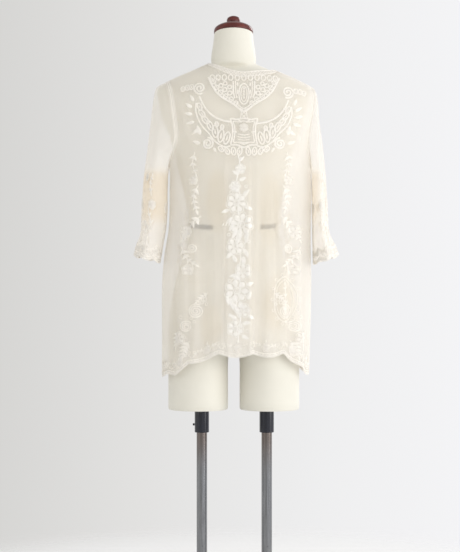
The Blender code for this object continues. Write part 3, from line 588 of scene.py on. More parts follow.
SIDE_SPIRALS = (
    ("across", "height", "radius", "turns", "degrees", "way"),
    (0.1150, 0.7400, 0.0185, 3.1, 60, 1), (0.1380, 0.7000, 0.0145, 2.6, 40, 1),
    (0.1220, 0.9000, 0.0130, 2.1, 250, -1),
)
SIDE_SPRAYS = (
    (((0.1180, 1.1500), (0.1240, 1.1220), (0.1160, 1.0940)), 3, 0.016),
    (((0.1080, 1.0640), (0.1200, 1.0350), (0.1120, 1.0000)), 4, 0.017),
    (((0.1020, 0.9850), (0.1260, 0.9600), (0.1480, 0.9250)), 5, 0.018),
    (((0.1500, 0.9050), (0.1360, 0.8750), (0.1160, 0.8600)), 4, 0.016),
    (((0.0860, 0.7860), (0.1000, 0.7780), (0.1120, 0.7640)), 4, 0.012),
    (((0.1620, 0.6880), (0.1720, 0.6720), (0.1740, 0.6500)), 4, 0.019),
    (((0.1300, 0.6640), (0.1400, 0.6480), (0.1460, 0.6260)), 4, 0.018),
)
SIDE_FLOWERS = (
    ("across", "height", "radius", "petals", "degrees"),
    (0.1220, 1.0760, 0.0110, 5, 90), (0.1400, 0.9440, 0.0150, 6, 60),
    (0.1560, 0.6700, 0.0160, 6, 80), (0.1340, 0.8460, 0.0130, 5, 90),
)
SIDE_RINGS = (
    ("across", "height", "radius"),
    (0.0940, 0.7700, 0.0046), (0.1020, 0.7620, 0.0040), (0.0900, 0.7580, 0.0036),
    (0.1260, 0.7220, 0.0036), (0.1180, 0.7130, 0.0032), (0.1500, 0.7240, 0.0040),
)

# Embroidery of the fronts, from the middle between them outwards
FRONT_CENTRE = 0.0080
FRONT_FLOWERS = (
    ("across", "height", "radius", "petals", "degrees"),
    (0.0820, 1.2200, 0.0140, 6, 90), (0.0900, 1.1350, 0.0170, 7, 80), (0.0800, 1.0450, 0.0150, 6, 90),
    (0.0920, 0.9550, 0.0180, 7, 70), (0.0820, 0.8600, 0.0160, 6, 90), (0.0960, 0.7700, 0.0190, 7, 80),
    (0.0850, 0.6900, 0.0160, 6, 90), (0.1450, 0.7300, 0.0150, 6, 60), (0.1400, 0.8900, 0.0130, 5, 90),
)
FRONT_SPRAYS = (
    (((0.0830, 1.2020), (0.0900, 1.1780), (0.0860, 1.1540)), 4, 0.015),
    (((0.0900, 1.1120), (0.0800, 1.0900), (0.0840, 1.0640)), 4, 0.015),
    (((0.0800, 1.0240), (0.0920, 1.0000), (0.0880, 0.9760)), 4, 0.015),
    (((0.0920, 0.9300), (0.0800, 0.9060), (0.0850, 0.8800)), 4, 0.016),
    (((0.0820, 0.8380), (0.0980, 0.8140), (0.0920, 0.7920)), 4, 0.016),
    (((0.0960, 0.7460), (0.0820, 0.7260), (0.0880, 0.7080)), 3, 0.014),
    (((0.1400, 0.8700), (0.1500, 0.8300), (0.1420, 0.7900), (0.1470, 0.7520)), 6, 0.016),
    (((0.1380, 0.9100), (0.1280, 0.9500), (0.1380, 0.9900)), 5, 0.015),
)

# Values of a table between its rows, on a smooth curve through them
CURVES = {}


def curve_of(table, name):
    key = (id(table), name)
    if key not in CURVES:
        place = table[0].index(name)
        places = [float(row[0]) for row in table[1:]]
        values = [float(row[place]) for row in table[1:]]
        steps = [(b - a) / (q - p) for a, b, p, q in zip(values, values[1:], places, places[1:])]
        grade = [steps[0]]
        for before, after in zip(steps, steps[1:]):
            grade.append(0.0 if before * after <= 0 else (before + after) / 2)
        CURVES[key] = (places, values, grade + [steps[-1]])
    return CURVES[key]


def between(table, name, place):
    places, values, grade = curve_of(table, name)
    place = min(max(place, places[0]), places[-1])
    i = min(bisect.bisect_right(places, place) - 1, len(places) - 2)
    span = places[i + 1] - places[i]
    t = (place - places[i]) / span
    start = values[i] * (1 + 2 * t) * (1 - t) ** 2 + grade[i] * span * t * (1 - t) ** 2
    end = values[i + 1] * t * t * (3 - 2 * t) - grade[i + 1] * span * t * t * (1 - t)
    return start + end


# Place on a smooth curve between b and c, with a before them and d after
def on_curve(a, b, c, d, t):
    return 0.5 * (2 * b + (c - a) * t + (2 * a - 5 * b + 4 * c - d) * t * t
                  + (3 * b - a - 3 * c + d) * t ** 3)


def ease(value):
    value = min(max(value, 0.0), 1.0)
    return value * value * (3 - 2 * value)


# Body surface: side is -1 behind and +1 in front, angle runs from -90 to 90 degrees
def ridge_height(x):
    return between(RIDGE, "height", abs(x))


def arch(side):
    return ARCH_BACK if side < 0 else ARCH_FRONT


def side_shape(angle):
    return max(1.0 - abs(math.sin(angle)) ** SIDE_POWER, 0.0) ** (1.0 / SIDE_POWER)


def body_x(angle, z):
    return between(BODY, "centre", z) + between(BODY, "width", z) * math.sin(angle)


# Finer creases, each a soft ridge or trough along its own slanting line
def crease_depth(side, x, z):
    depth = 0.0
    for top_x, top_z, low_x, low_z, wide, height in (BACK_CREASES if side < 0 else FRONT_CREASES)[1:]:
        if z > top_z or z < low_z:
            continue
        share = (top_z - z) / (top_z - low_z)
        far = (x - top_x - (low_x - top_x) * share - CREASE_BOW * math.sin(9.0 * share + 40.0 * top_x)) / wide
        if abs(far) > 2.6:
            continue
        fade = ease(share / 0.30)
        if low_z > HEM_REACH:
            fade *= ease((1.0 - share) / 0.35)
        depth += height * fade * math.exp(-far * far)
    return depth


def fold_depth(side, angle, z):
    folds = BACK_FOLDS if side < 0 else FRONT_FOLDS
    degrees = math.degrees(angle) if side < 0 else abs(math.degrees(angle))
    depth = crease_depth(side, body_x(angle, z), z)
    for middle, spread, height, top in folds[1:]:
        grown = ease((top - z) / FOLD_LENGTH)
        if grown:
            depth += height * grown * math.exp(-((degrees - middle) / spread) ** 2)
    edge = ease((90 - abs(math.degrees(angle))) / 14)
    return depth * edge


def body_point(side, angle, z):
    x = body_x(angle, z)
    drop = max(ridge_height(x) - z, 0.0)
    reach = min(drop / arch(side), 1.0)
    bulge = math.sqrt(max(1.0 - (1.0 - reach) ** 2, 0.0))
    depth = between(BODY, "back" if side < 0 else "front", z) * side_shape(angle) * bulge
    fold = fold_depth(side, angle, z)
    x += fold * math.sin(angle)
    depth += fold * math.cos(angle)
    return np.array((x, side * (HALF_GAP + depth), z))


# Height of a row: through the shoulder's arch, straight, then round the armhole's bottom
def row_height(side, angle_at, row, top_turn=0.0):
    turn = top_turn + (math.pi / 2 - top_turn) * min(row / ARCH_ROWS, 1.0)
    z = UNDERARM + 0.2
    for _ in range(6):
        ridge = ridge_height(body_x(angle_at(z), z))
        low = UNDERARM + ROUND_BOTTOM
        if row <= ARCH_ROWS:
            z = ridge - arch(side) * (1.0 - math.cos(turn))
        elif row <= ARCH_ROWS + PLAIN_ROWS:
            share = (row - ARCH_ROWS) / PLAIN_ROWS
            z = (ridge - arch(side)) * (1.0 - share) + low * share
        else:
            left = ARCH_ROWS + PLAIN_ROWS + ROUND_ROWS - row
            z = UNDERARM + ROUND_BOTTOM * (1.0 - math.cos(math.pi / 2 * left / ROUND_ROWS))
    return z


ARM_ROWS = ARCH_ROWS + PLAIN_ROWS + ROUND_ROWS


# Angle of the armhole seam, or of the side seam under it, on the left (-1) or right (1)
def seam_angle(hand, z):
    if z <= UNDERARM:
        return hand * math.pi / 2
    name = "left" if hand < 0 else "right"
    share = (between(ARMHOLE, name, z) - between(BODY, "centre", z)) / between(BODY, "width", z)
    inner = math.asin(min(max(share, -1.0), 1.0))
    rise = min((z - UNDERARM) / ROUND_BOTTOM, 1.0)
    blend = math.sqrt(max(1.0 - (1.0 - rise) ** 2, 0.0))
    return hand * math.pi / 2 * (1.0 - blend) + inner * blend


# How far round the arch the back's neck edge starts, for a place across the shoulders
def neck_turn(x):
    middle = (NECK_LEFT + NECK_RIGHT) / 2
    share = (x - middle) / ((NECK_RIGHT - NECK_LEFT) / 2)
    if abs(share) >= 1.0:
        return 0.0
    return math.asin(NECK_DROP * math.sqrt(1.0 - share * share))


def hem_height(side, angle):
    degrees = math.degrees(angle)
    if side < 0:
        base = between(HEM_BACK, "height", degrees)
    else:
        base = between(HEM_FRONT, "height", abs(degrees))
    scallop = abs(math.sin(math.pi * HEM_SCALLOPS * (degrees + 90) / 180))
    return base - HEM_SCALLOP * scallop


def front_edge_angle(hand, z):
    share = between(FRONT_EDGE, "distance", z) / between(BODY, "width", z)
    if z > UNDERARM:
        end = NECK_LEFT if hand < 0 else NECK_RIGHT
        away = abs(end - between(BODY, "centre", z)) / abs(FRONT_EDGE[-1][1])
        share *= 1.0 + (away - 1.0) * ease((z - UNDERARM) / (FRONT_EDGE_END - UNDERARM))
    return hand * math.asin(share)


# Points of a panel in rows from the shoulder down, each across between the turns of two edges
def panel_grid(side, columns, edges_at):
    grid = []
    for row in range(ARM_ROWS + SKIRT_ROWS + 1):
        line = []
        for step in range(columns + 1):
            share = step / columns

            def angle_at(z, share=share):
                first, last = edges_at(z)
                return first * (1 - share) + last * share

            if row <= ARM_ROWS:
                start = neck_turn(body_x(angle_at(NECK_LEVEL), NECK_LEVEL)) if side < 0 else 0.0
                z = row_height(side, angle_at, row, start)
            else:
                hem = hem_height(side, angle_at(UNDERARM))
                z = UNDERARM + (hem - UNDERARM) * (row - ARM_ROWS) / SKIRT_ROWS
            line.append(body_point(side, angle_at(z), z))
        grid.append(line)
    return np.array(grid)


def back_grid():
    return panel_grid(-1, BACK_COLUMNS, lambda z: (seam_angle(-1, z), seam_angle(1, z)))


def front_grid(hand):
    return panel_grid(1, FRONT_COLUMNS, lambda z: (front_edge_angle(hand, z), seam_angle(hand, z)))


# Unit normals of a grid of points
def grid_normals(grid):
    normals = np.cross(np.gradient(grid, axis=0), np.gradient(grid, axis=1))
    return normals / np.linalg.norm(normals, axis=2, keepdims=True)


# Sleeve: rings from the armhole's own points to the cuff
def armhole_ring(hand, back, front):
    behind = list(back[:ARM_ROWS + 1, 0 if hand < 0 else -1])
    before = list(front[:ARM_ROWS + 1, -1])
    top = (behind[0] + before[0]) / 2
    bottom = (behind[-1] + before[-1]) / 2
    return np.array([top] + before[1:-1] + [bottom] + behind[-2:0:-1])


def sleeve_rings(hand, start):
    table = SLEEVE_LEFT if hand < 0 else SLEEVE_RIGHT
    start = start + np.array((hand * SLEEVE_GAP, 0.0, 0.0))
    turns = ring_turns(len(start))
    rings = []
    first = None
    for row in range(SLEEVE_ROWS + 1):
        run = row / SLEEVE_ROWS
        out = np.array((between(table, "out_x", run), 0.0, between(table, "out_z", run)))
        inn = np.array((between(table, "in_x", run), 0.0, between(table, "in_z", run)))
        depth = between(table, "depth", run)
        ring = []
        for turn in turns:
            point = (out + inn) / 2 + (out - inn) / 2 * math.cos(turn)
            point[1] = depth * math.sin(turn)
            ring.append(point)
        ring = np.array(ring)
        if first is None:
            first = ring.copy()
        keep = 1.0 - ease(run / SLEEVE_SETTLE)
        ring += (start - first) * keep
        rings.append(shape_sleeve(ring, turns, run, hand))
    return np.array(rings)


# Long folds down the sleeve, a flared wavy cuff and its scallops
def shape_sleeve(ring, turns, run, hand):
    middle = ring.mean(axis=0)
    for step, turn in enumerate(turns):
        clear = ease((1.0 + math.cos(turn)) * 1.1)
        away = ring[step] - middle
        away /= np.linalg.norm(away)
        grown = ease((run - FOLD_START) / FOLD_GROWTH)
        fold = SLEEVE_FOLDS * grown * math.sin(3 * turn + 0.8 * hand)
        flare = ease((run - CUFF_START) / CUFF_LENGTH)
        wave = CUFF_WAVE * flare * math.cos(CUFF_WAVES * turn + 0.5)
        ring[step] += away * (fold + wave) * clear
        if run >= 1.0:
            ring[step][2] -= CUFF_SCALLOP * abs(math.sin(CUFF_SCALLOPS / 2 * turn))
    return ring


# Dress form: rings of points, each from its height
def form_section(z, turn):
    width = between(FORM, "width", z)
    limit = width
    for _ in range(30):
        if ridge_height(limit) - FORM_INSET >= z:
            break
        limit -= 0.0005 + 0.5 * (z - ridge_height(limit) + FORM_INSET)
    x = limit * math.sin(turn)
    side = -1 if math.cos(turn) > 0 else 1
    round_off = max(1.0 - abs(x / width) ** SIDE_POWER, 0.0) ** (1.0 / SIDE_POWER)
    drop = max(ridge_height(x) - FORM_INSET - z, 0.0)
    reach = min(drop / arch(side), 1.0)
    bulge = math.sqrt(max(1.0 - (1.0 - reach) ** 2, 0.0))
    depth = between(FORM, "back" if side < 0 else "front", z) * round_off * bulge
    return np.array((FORM_CENTRE + x, side * depth, z))


def neck_section(z, turn):
    width = between(NECK, "width", z)
    depth = between(NECK, "back" if math.cos(turn) > 0 else "front", z)
    return np.array((FORM_CENTRE + width * math.sin(turn), -depth * math.cos(turn), z))


def ring_turns(count):
    return [2 * math.pi * step / count for step in range(count)]


# A new object of the scene
def placed(name, data):
    made = bpy.data.objects.new(name, data)
    COLLECTION.objects.link(made)
    return made


# Camera, lights, world and floor
def camera():
    made = placed("camera", bpy.data.cameras.new("camera"))
    made.location = CAMERA_PLACE
    made.rotation_euler = (math.pi / 2, 0.0, 0.0)
    made.data.sensor_fit = "VERTICAL"
    made.data.sensor_height = SENSOR
    made.data.lens = LENS
    bpy.context.scene.camera = made


def area_light(name, place, aim, size, power, colour):
    light = bpy.data.lights.new(name, "AREA")
    light.shape = "DISK"
    light.size = size
    light.energy = power
    light.color = colour
    made = placed(name, light)
    made.location = place
    made.rotation_euler = (Vector(aim) - Vector(place)).to_track_quat("-Z", "Y").to_euler()
    made.visible_camera = False


# A node with its settings and its inputs, each a value or another node's socket
def node(tree, kind, inputs=None, **settings):
    made = tree.nodes.new(kind)
    for key, value in settings.items():
        setattr(made, key, value)
    for key, value in (inputs or {}).items():
        if isinstance(value, bpy.types.NodeSocket):
            tree.links.new(value, made.inputs[key])
        else:
            made.inputs[key].default_value = value
    return made


def ramp(tree, value, stops, interpolation="EASE"):
    made = node(tree, "ShaderNodeValToRGB", {"Fac": value})
    made.color_ramp.interpolation = interpolation
    elements = made.color_ramp.elements
    while len(elements) < len(stops):
        elements.new(0.5)
    for element, (place, colour) in zip(elements, stops):
        element.position = place
        element.color = (*colour, 1.0)
    return made.outputs["Color"]


# Studio surround: pale, and brighter towards the right, where the window is
def studio():
    world = bpy.data.worlds.new("studio")
    world.use_nodes = True
    tree = world.node_tree
    direction = node(tree, "ShaderNodeTexCoord").outputs["Generated"]
    across = node(tree, "ShaderNodeSeparateXYZ", {"Vector": direction}).outputs["X"]
    colour = ramp(tree, mapped(tree, across, -1.0, 1.0), WALL_TONES, "LINEAR")
    tree.links.new(colour, tree.nodes["Background"].inputs["Color"])
    ahead = node(tree, "ShaderNodeSeparateXYZ", {"Vector": direction}).outputs["Y"]
    strength = mapped(tree, ahead, 0.2, -0.8, WORLD_STRENGTH, BEHIND_CAMERA, interpolation_type="SMOOTHSTEP")
    tree.links.new(strength, tree.nodes["Background"].inputs["Strength"])
    bpy.context.scene.world = world


def floor():
    mesh = bpy.data.meshes.new("floor")
    work = bmesh.new()
    bmesh.ops.create_circle(work, cap_ends=True, segments=96, radius=FLOOR_RADIUS)
    work.to_mesh(mesh)
    work.free()
    made = placed("floor", mesh)
    made.location = (0.0, 0.0, FLOOR_DROP)
    finish, tree, shader = principled("floor", (0.80, 0.80, 0.80), 0.75)
    far = node(tree, "ShaderNodeVectorMath", {0: metres(tree)}, operation="LENGTH").outputs["Value"]
    start, end = FLOOR_RADIUS * FLOOR_FADE[0], FLOOR_RADIUS * FLOOR_FADE[1]
    fade = mapped(tree, far, start, end, 1.0, 0.0, interpolation_type="SMOOTHERSTEP")
    tree.links.new(fade, shader.inputs["Alpha"])
    mesh.materials.append(finish)


def principled(name, colour, roughness, metallic=0.0):
    finish = bpy.data.materials.new(name)
    finish.use_nodes = True
    tree = finish.node_tree
    shader = tree.nodes["Principled BSDF"]
    shader.inputs["Base Color"].default_value = (*colour, 1.0)
    shader.inputs["Roughness"].default_value = roughness
    shader.inputs["Metallic"].default_value = metallic
    return finish, tree, shader


# Ridges of a material: how strong they are, and how high
def bump(tree, shader, height, strength, distance):
    made = node(tree, "ShaderNodeBump", {"Height": height, "Strength": strength, "Distance": distance})
    tree.links.new(made.outputs["Normal"], shader.inputs["Normal"])


def metres(tree):
    return node(tree, "ShaderNodeTexCoord").outputs["Object"]


def cut_place(tree):
    return node(tree, "ShaderNodeUVMap", uv_map="cut").outputs["UV"]


# Places drawn out along the axes with the lower scales
def drawn_out(tree, scale):
    return node(tree, "ShaderNodeMapping", {"Vector": metres(tree), "Scale": scale}).outputs["Vector"]


# A value carried from one range to another
def mapped(tree, value, start, end, low=0.0, high=1.0, **settings):
    return node(tree, "ShaderNodeMapRange", {
        "Value": value, "From Min": start, "From Max": end, "To Min": low, "To Max": high,
    }, **settings).outputs["Result"]


# A noise, and the tone that a ramp of stops gives it
def mottled(tree, place, stops, **noise):
    cloud = node(tree, "ShaderNodeTexNoise", {"Vector": place, **noise}).outputs["Fac"]
    return cloud, ramp(tree, cloud, stops)


# A tone laid over a colour by a share
def tinted(tree, colour, tone, share):
    mixed = node(tree, "ShaderNodeMix", {6: colour, 7: (*tone, 1.0)}, data_type="RGBA")
    tree.links.new(share, mixed.inputs[0])
    return mixed.outputs[2]


# Thin cloth passes on a share of the light that falls on its far side, and has open holes
def lets_through(tree, shader, colour, share, cover=None):
    through = node(tree, "ShaderNodeBsdfTranslucent", {"Color": colour})
    mixed = node(tree, "ShaderNodeMixShader", {
        0: share, 1: shader.outputs["BSDF"], 2: through.outputs["BSDF"],
    })
    if cover is not None:
        hole = node(tree, "ShaderNodeBsdfTransparent")
        mixed = node(tree, "ShaderNodeMixShader", {
            0: cover, 1: hole.outputs["BSDF"], 2: mixed.outputs["Shader"],
        })
    tree.links.new(mixed.outputs["Shader"], tree.nodes["Material Output"].inputs["Surface"])


# Net of fine threads over the cloth's own coordinates, denser where the embroidery backs it
def tulle_finish():
    finish, tree, shader = principled("embroidered_tulle", (0.93, 0.905, 0.85), 0.85)
    cells = node(tree, "ShaderNodeTexVoronoi", {
        "Vector": cut_place(tree), "Scale": NET_CELLS, "Randomness": 0.25,
    }, feature="DISTANCE_TO_EDGE").outputs["Distance"]
    thread = mapped(tree, cells, *THREAD_EDGE, 1.0, 0.0)
    threads = node(tree, "ShaderNodeMath", {0: thread, 1: THREAD_COVER}, operation="MULTIPLY")
    dense = node(tree, "ShaderNodeAttribute", attribute_name="dense").outputs["Fac"]
    cover = node(tree, "ShaderNodeMath", {
        0: threads.outputs["Value"], 1: mapped(tree, dense, 0.0, 1.0, HOLE_COVER, DENSE_COVER),
    }, operation="MAXIMUM").outputs["Value"]
    colour = mottled(tree, metres(tree), TULLE_TONES, Scale=22.0, Detail=3.0)[1]
    warm = node(tree, "ShaderNodeAttribute", attribute_name="warm").outputs["Fac"]
    colour = tinted(tree, colour, WARM_TONE, warm)
    tree.links.new(colour, shader.inputs["Base Color"])
    shader.inputs["Sheen Weight"].default_value = 0.25
    shader.inputs["Sheen Roughness"].default_value = 0.4
    bump(tree, shader, thread, 0.35, 0.0004)
    lets_through(tree, shader, colour, TULLE_THROUGH, cover)
    return finish


# Cord and satin stitch: slanting threads across each cord
def cord_finish(name, dull, bright):
    finish, tree, shader = principled(name, bright, 0.6)
    threads = node(tree, "ShaderNodeTexWave", {
        "Vector": cut_place(tree), "Scale": 260.0, "Distortion": 0.6, "Detail": 1.0,
    }, bands_direction="DIAGONAL").outputs["Fac"]
    colour = mottled(tree, metres(tree), ((0.30, dull), (0.70, bright)), Scale=160.0, Detail=2.0)[1]
    tree.links.new(colour, shader.inputs["Base Color"])
    shader.inputs["Sheen Weight"].default_value = 0.2
    bump(tree, shader, threads, 0.5, 0.0004)
    lets_through(tree, shader, colour, CORD_THROUGH)
    return finish


# Smooth stretch cover of the form: fine knit and a slight unevenness of tone
def cover_finish():
    finish, tree, shader = principled("form_cover", (0.76, 0.735, 0.64), 0.62)
    place = metres(tree)
    knit = node(tree, "ShaderNodeTexNoise", {"Vector": place, "Scale": 900.0, "Detail": 1.0})
    colour = mottled(tree, place, COVER_TONES, Scale=7.0, Detail=4.0)[1]
    tree.links.new(colour, shader.inputs["Base Color"])
    shader.inputs["Sheen Weight"].default_value = 0.15
    bump(tree, shader, knit.outputs["Fac"], 0.15, 0.0006)
    return finish


def wood_finish():
    finish, tree, shader = principled("stained_wood", (0.16, 0.03, 0.02), 0.3)
    place = drawn_out(tree, (9.0, 60.0, 60.0))
    grain, colour = mottled(tree, place, WOOD_TONES, Scale=2.2, Detail=6.0, Distortion=0.8)
    tree.links.new(colour, shader.inputs["Base Color"])
    shader.inputs["Specular IOR Level"].default_value = 0.25
    shader.inputs["Coat Weight"].default_value = 0.12
    shader.inputs["Coat Roughness"].default_value = 0.12
    bump(tree, shader, grain, 0.12, 0.0005)
    return finish


# Metal with fine lines along or round it; a brown tint may grow with height towards the top
def metal_finish(name, colour, roughness, lines, metallic=1.0, top_tint=None):
    finish, tree, shader = principled(name, colour, roughness, metallic)
    low = tuple(0.80 * value for value in colour)
    high = tuple(min(1.18 * value, 1.0) for value in colour)
    stops = ((0.30, low), (0.70, high))
    scratches, shade = mottled(tree, drawn_out(tree, lines), stops, Scale=12.0, Detail=5.0)
    if top_tint is not None:
        tone, start, end, share = top_tint
        height = node(tree, "ShaderNodeSeparateXYZ", {"Vector": metres(tree)}).outputs["Z"]
        grown = mapped(tree, height, start, end, 0.0, share, interpolation_type="SMOOTHSTEP")
        shade = tinted(tree, shade, tone, grown)
    tree.links.new(shade, shader.inputs["Base Color"])
    rough = mapped(tree, scratches, 0.0, 1.0, roughness * 0.75, roughness * 1.3)
    tree.links.new(rough, shader.inputs["Roughness"])
    bump(tree, shader, scratches, 0.08, 0.0003)
    return finish


def tape_finish():
    finish, tree, shader = principled("waist_tape", (0.02, 0.02, 0.02), 0.7)
    weave = node(tree, "ShaderNodeTexWave", {"Vector": metres(tree), "Scale": 420.0}, bands_direction="Z")
    tree.links.new(ramp(tree, weave.outputs["Fac"], TAPE_TONES), shader.inputs["Base Color"])
    bump(tree, shader, weave.outputs["Fac"], 0.4, 0.0003)
    return finish


# A smooth mesh whose "cut" coordinates run over the flat cloth in metres
def soft_mesh(name, points, faces, cuts, finish):
    mesh = bpy.data.meshes.new(name)
    mesh.from_pydata(points.tolist(), [], faces)
    corners = np.empty(len(mesh.loops), dtype=np.int32)
    mesh.loops.foreach_get("vertex_index", corners)
    places = cuts.astype(np.float32)[corners]
    mesh.uv_layers.new(name="cut").data.foreach_set("uv", places.reshape(-1))
    mesh.shade_smooth()
    mesh.materials.append(finish)
    return placed(name, mesh)


def grid_faces(rows, columns, start=0):
    corners = [start + i * columns + j for i in range(rows - 1) for j in range(columns - 1)]
    return [(k, k + columns, k + columns + 1, k + 1) for k in corners]


# A soft mesh from a grid of points, with its stitching and its warm backing by point
def grid_mesh(name, grid, dense, warm, finish):
    rows, columns = grid.shape[:2]
    across = np.linalg.norm(np.diff(grid, axis=1), axis=2)
    across = np.concatenate((np.zeros((rows, 1)), np.cumsum(across, axis=1)), axis=1)
    across -= across[:, columns // 2][:, None]
    down = np.linalg.norm(np.diff(grid, axis=0), axis=2)
    down = np.concatenate((np.zeros((1, columns)), np.cumsum(down, axis=0)), axis=0)
    cuts = np.stack((across.reshape(-1), down.reshape(-1)), axis=1)
    made = soft_mesh(name, grid.reshape(-1, 3), grid_faces(rows, columns), cuts, finish)
    for word, values in (("dense", dense), ("warm", warm)):
        shade = made.data.attributes.new(word, "FLOAT", "POINT")
        shade.data.foreach_set("value", values.reshape(-1).astype(np.float32))
    return made


# A piece rides the body, and a finer version takes its CAD node's place
def dress(made, slot, *nodes):
    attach(made, "root")
    if nodes:
        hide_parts(*nodes)


# How far a place lies from the middle of an oval patch: 1 is its edge
def from_patch(patch, x, z):
    across, height, wide, tall = patch[:4]
    return ((x - across) / wide) ** 2 + ((z - height) / tall) ** 2


# How densely the back is stitched, by place across and height
def back_density(x, z):
    column = ease((x - COLUMN_LEFT) / 0.010) * ease((COLUMN_RIGHT - x) / 0.003)
    value = BODY_DENSE + LOW_DENSE * ease((0.92 - z) / 0.20)
    value -= SIDE_SHEER * ease((abs(x - SIDE_MIDDLE) - SIDE_START) / 0.05) * ease((1.20 - z) / 0.10)
    value += COLUMN_DENSE * column * ease((COLUMN_TOP - z) / 0.06)
    for patch in BACK_PATCHES[1:]:
        value = max(value, patch[4] * ease((1.12 - from_patch(patch, x, z)) / 0.24))
    for patch in CLEAR_PATCHES[1:]:
        value -= patch[4] * ease(PATCH_REACH - from_patch(patch, x, z))
    return max(value, 0.0)


def front_density(x, z):
    return BODY_DENSE


def plain(x, z):
    return 0.0


# How far down the lower sleeve's denser stitching has set in
def lower_sleeve(z):
    return ease((SLEEVE_BAND - z) / 0.03)


# Warmer backing of the lower sleeves, and of soft patches on the back
def sleeve_warmth(x, z):
    value = SLEEVE_WARM * lower_sleeve(z) * ease((z - 0.955) / 0.04)
    return value * ease((WARM_RIGHT - x) / 0.020) * ease((x - WARM_LEFT) / 0.020)


def sleeve_density(x, z):
    return SLEEVE_SHEER + (SLEEVE_DENSE - SLEEVE_SHEER) * lower_sleeve(z)


def back_warmth(x, z):
    return max(patch[4] * ease(PATCH_REACH - from_patch(patch, x, z)) for patch in WARM_PATCHES[1:])


def density(grid, rule):
    return np.array([[rule(point[0], point[2]) for point in line] for line in grid])


def panel(name, grid, dense, warm, finish):
    made = grid_mesh("gown_" + name, grid, density(grid, dense), density(grid, warm), finish)
    dress(made, "embroidered_tulle", name)
    return made, grid


# Panels of the gown, each a mesh and its grid of points
def gown(finish):
    back = back_grid()
    pieces = {"back": panel("back", back, back_density, back_warmth, finish)}
    for hand, name in ((-1, "left"), (1, "right")):
        front = front_grid(hand)
        pieces["front_" + name] = panel("front_" + name, front, front_density, plain, finish)
        rings = sleeve_rings(hand, armhole_ring(hand, back, front))
        rings = np.roll(rings, -(rings.shape[1] // 2), axis=1)
        sleeve = np.concatenate((rings, rings[:, :1]), axis=1)
        pieces["sleeve_" + name] = panel("sleeve_" + name, sleeve, sleeve_density, sleeve_warmth, finish)
    return pieces


# Rings of points put in between others, on a smooth curve through them
def finer(rings, parts):
    rings = np.array(rings, dtype=float)
    padded = np.concatenate((2 * rings[:1] - rings[1:2], rings, 2 * rings[-1:] - rings[-2:-1]))
    result = []
    for i in range(len(rings) - 1):
        a, b, c, d = padded[i:i + 4]
        result.extend(on_curve(a, b, c, d, part / parts) for part in range(parts))
    result.append(rings[-1])
    return result


# Faces between two rings of points, each given by its first point's number
def ring_faces(low, high, sides):
    numbers = [(j, (j + 1) % sides) for j in range(sides)]
    return [(low + j, low + k, high + k, high + j) for j, k in numbers]


# A rigid piece: its faces turned outward, and edges sharper than SHARP_EDGE kept
def solid(name, points, faces, finish):
    mesh = bpy.data.meshes.new(name)
    mesh.from_pydata(np.array(points).tolist(), [], faces)
    work = bmesh.new()
    work.from_mesh(mesh)
    bmesh.ops.recalc_face_normals(work, faces=work.faces)
    work.to_mesh(mesh)
    work.free()
    mesh.shade_smooth()
    mesh.set_sharp_from_angle(angle=SHARP_EDGE)
    mesh.materials.append(finish)
    return placed(name, mesh)


# The form's lowest ring is parted by a line from back to front, one thigh on each side
def dress_form(finish):
    turns = ring_turns(FORM_SIDES)
    rings = [[form_section(z, turn) for turn in turns] for z in FORM_LEVELS]
    for number, row in enumerate(NECK[1:]):
        ring = np.array([neck_section(row[0], turn) for turn in turns])
        ring[:, 2] -= math.tan(NECK_TILT) * ring[:, 1] * ease(number / (len(NECK) - 2))
        rings.append(ring)
    rings = finer(rings, FORM_PARTS)
    points = [point for ring in rings for point in ring]
    faces = []
    for i in range(len(rings) - 1):
        faces.extend(ring_faces(i * FORM_SIDES, (i + 1) * FORM_SIDES, FORM_SIDES))
    top = (len(rings) - 1) * FORM_SIDES
    faces.append(tuple(top + j for j in range(FORM_SIDES)))
    half = FORM_SIDES // 2
    line_start = len(points)
    back_point, front_point = rings[0][0], rings[0][half]
    for step in range(1, THIGH_LINE):
        share = step / THIGH_LINE
        sag = THIGH_SAG * math.sin(math.pi * share)
        point = back_point * (1 - share) + front_point * share
        points.append(point + np.array((0.0, 0.0, -sag)))
    line = list(range(line_start, line_start + THIGH_LINE - 1))
    right = list(range(0, half + 1)) + line[::-1]
    left = [0] + line + list(range(half, FORM_SIDES))
    for loop, centre in ((right, THIGH_CENTRES[1]), (left, THIGH_CENTRES[0])):
        add_thigh(points, faces, loop, centre)
    dress(solid("form_body", points, faces, finish), "form_cover", "form")


def add_thigh(points, faces, loop, centre):
    first = np.array([points[i] for i in loop])
    angles = even_angles([math.atan2(p[0] - centre, -p[1]) for p in first])
    rings = [first]
    for number, z in enumerate(THIGH_LEVELS):
        blend = ease((number + 1) / THIGH_BLEND)
        shrink = THIGH_END if number == len(THIGH_LEVELS) - 1 else 1.0
        ring = []
        for p, turn in zip(first, angles):
            x = centre + THIGH_WIDTH * shrink * math.sin(turn)
            y = -THIGH_DEPTH * shrink * math.cos(turn)
            ring.append((p[0] * (1 - blend) + x * blend, p[1] * (1 - blend) + y * blend, z))
        rings.append(np.array(ring))
    rings = finer(rings[:-1], FORM_PARTS) + rings[-1:]
    before = loop
    for ring in rings[1:]:
        after = list(range(len(points), len(points) + len(ring)))
        points.extend(ring)
        for j in range(len(ring)):
            k = (j + 1) % len(ring)
            faces.append((before[k], before[j], after[j], after[k]))
        before = after
    faces.append(tuple(before))


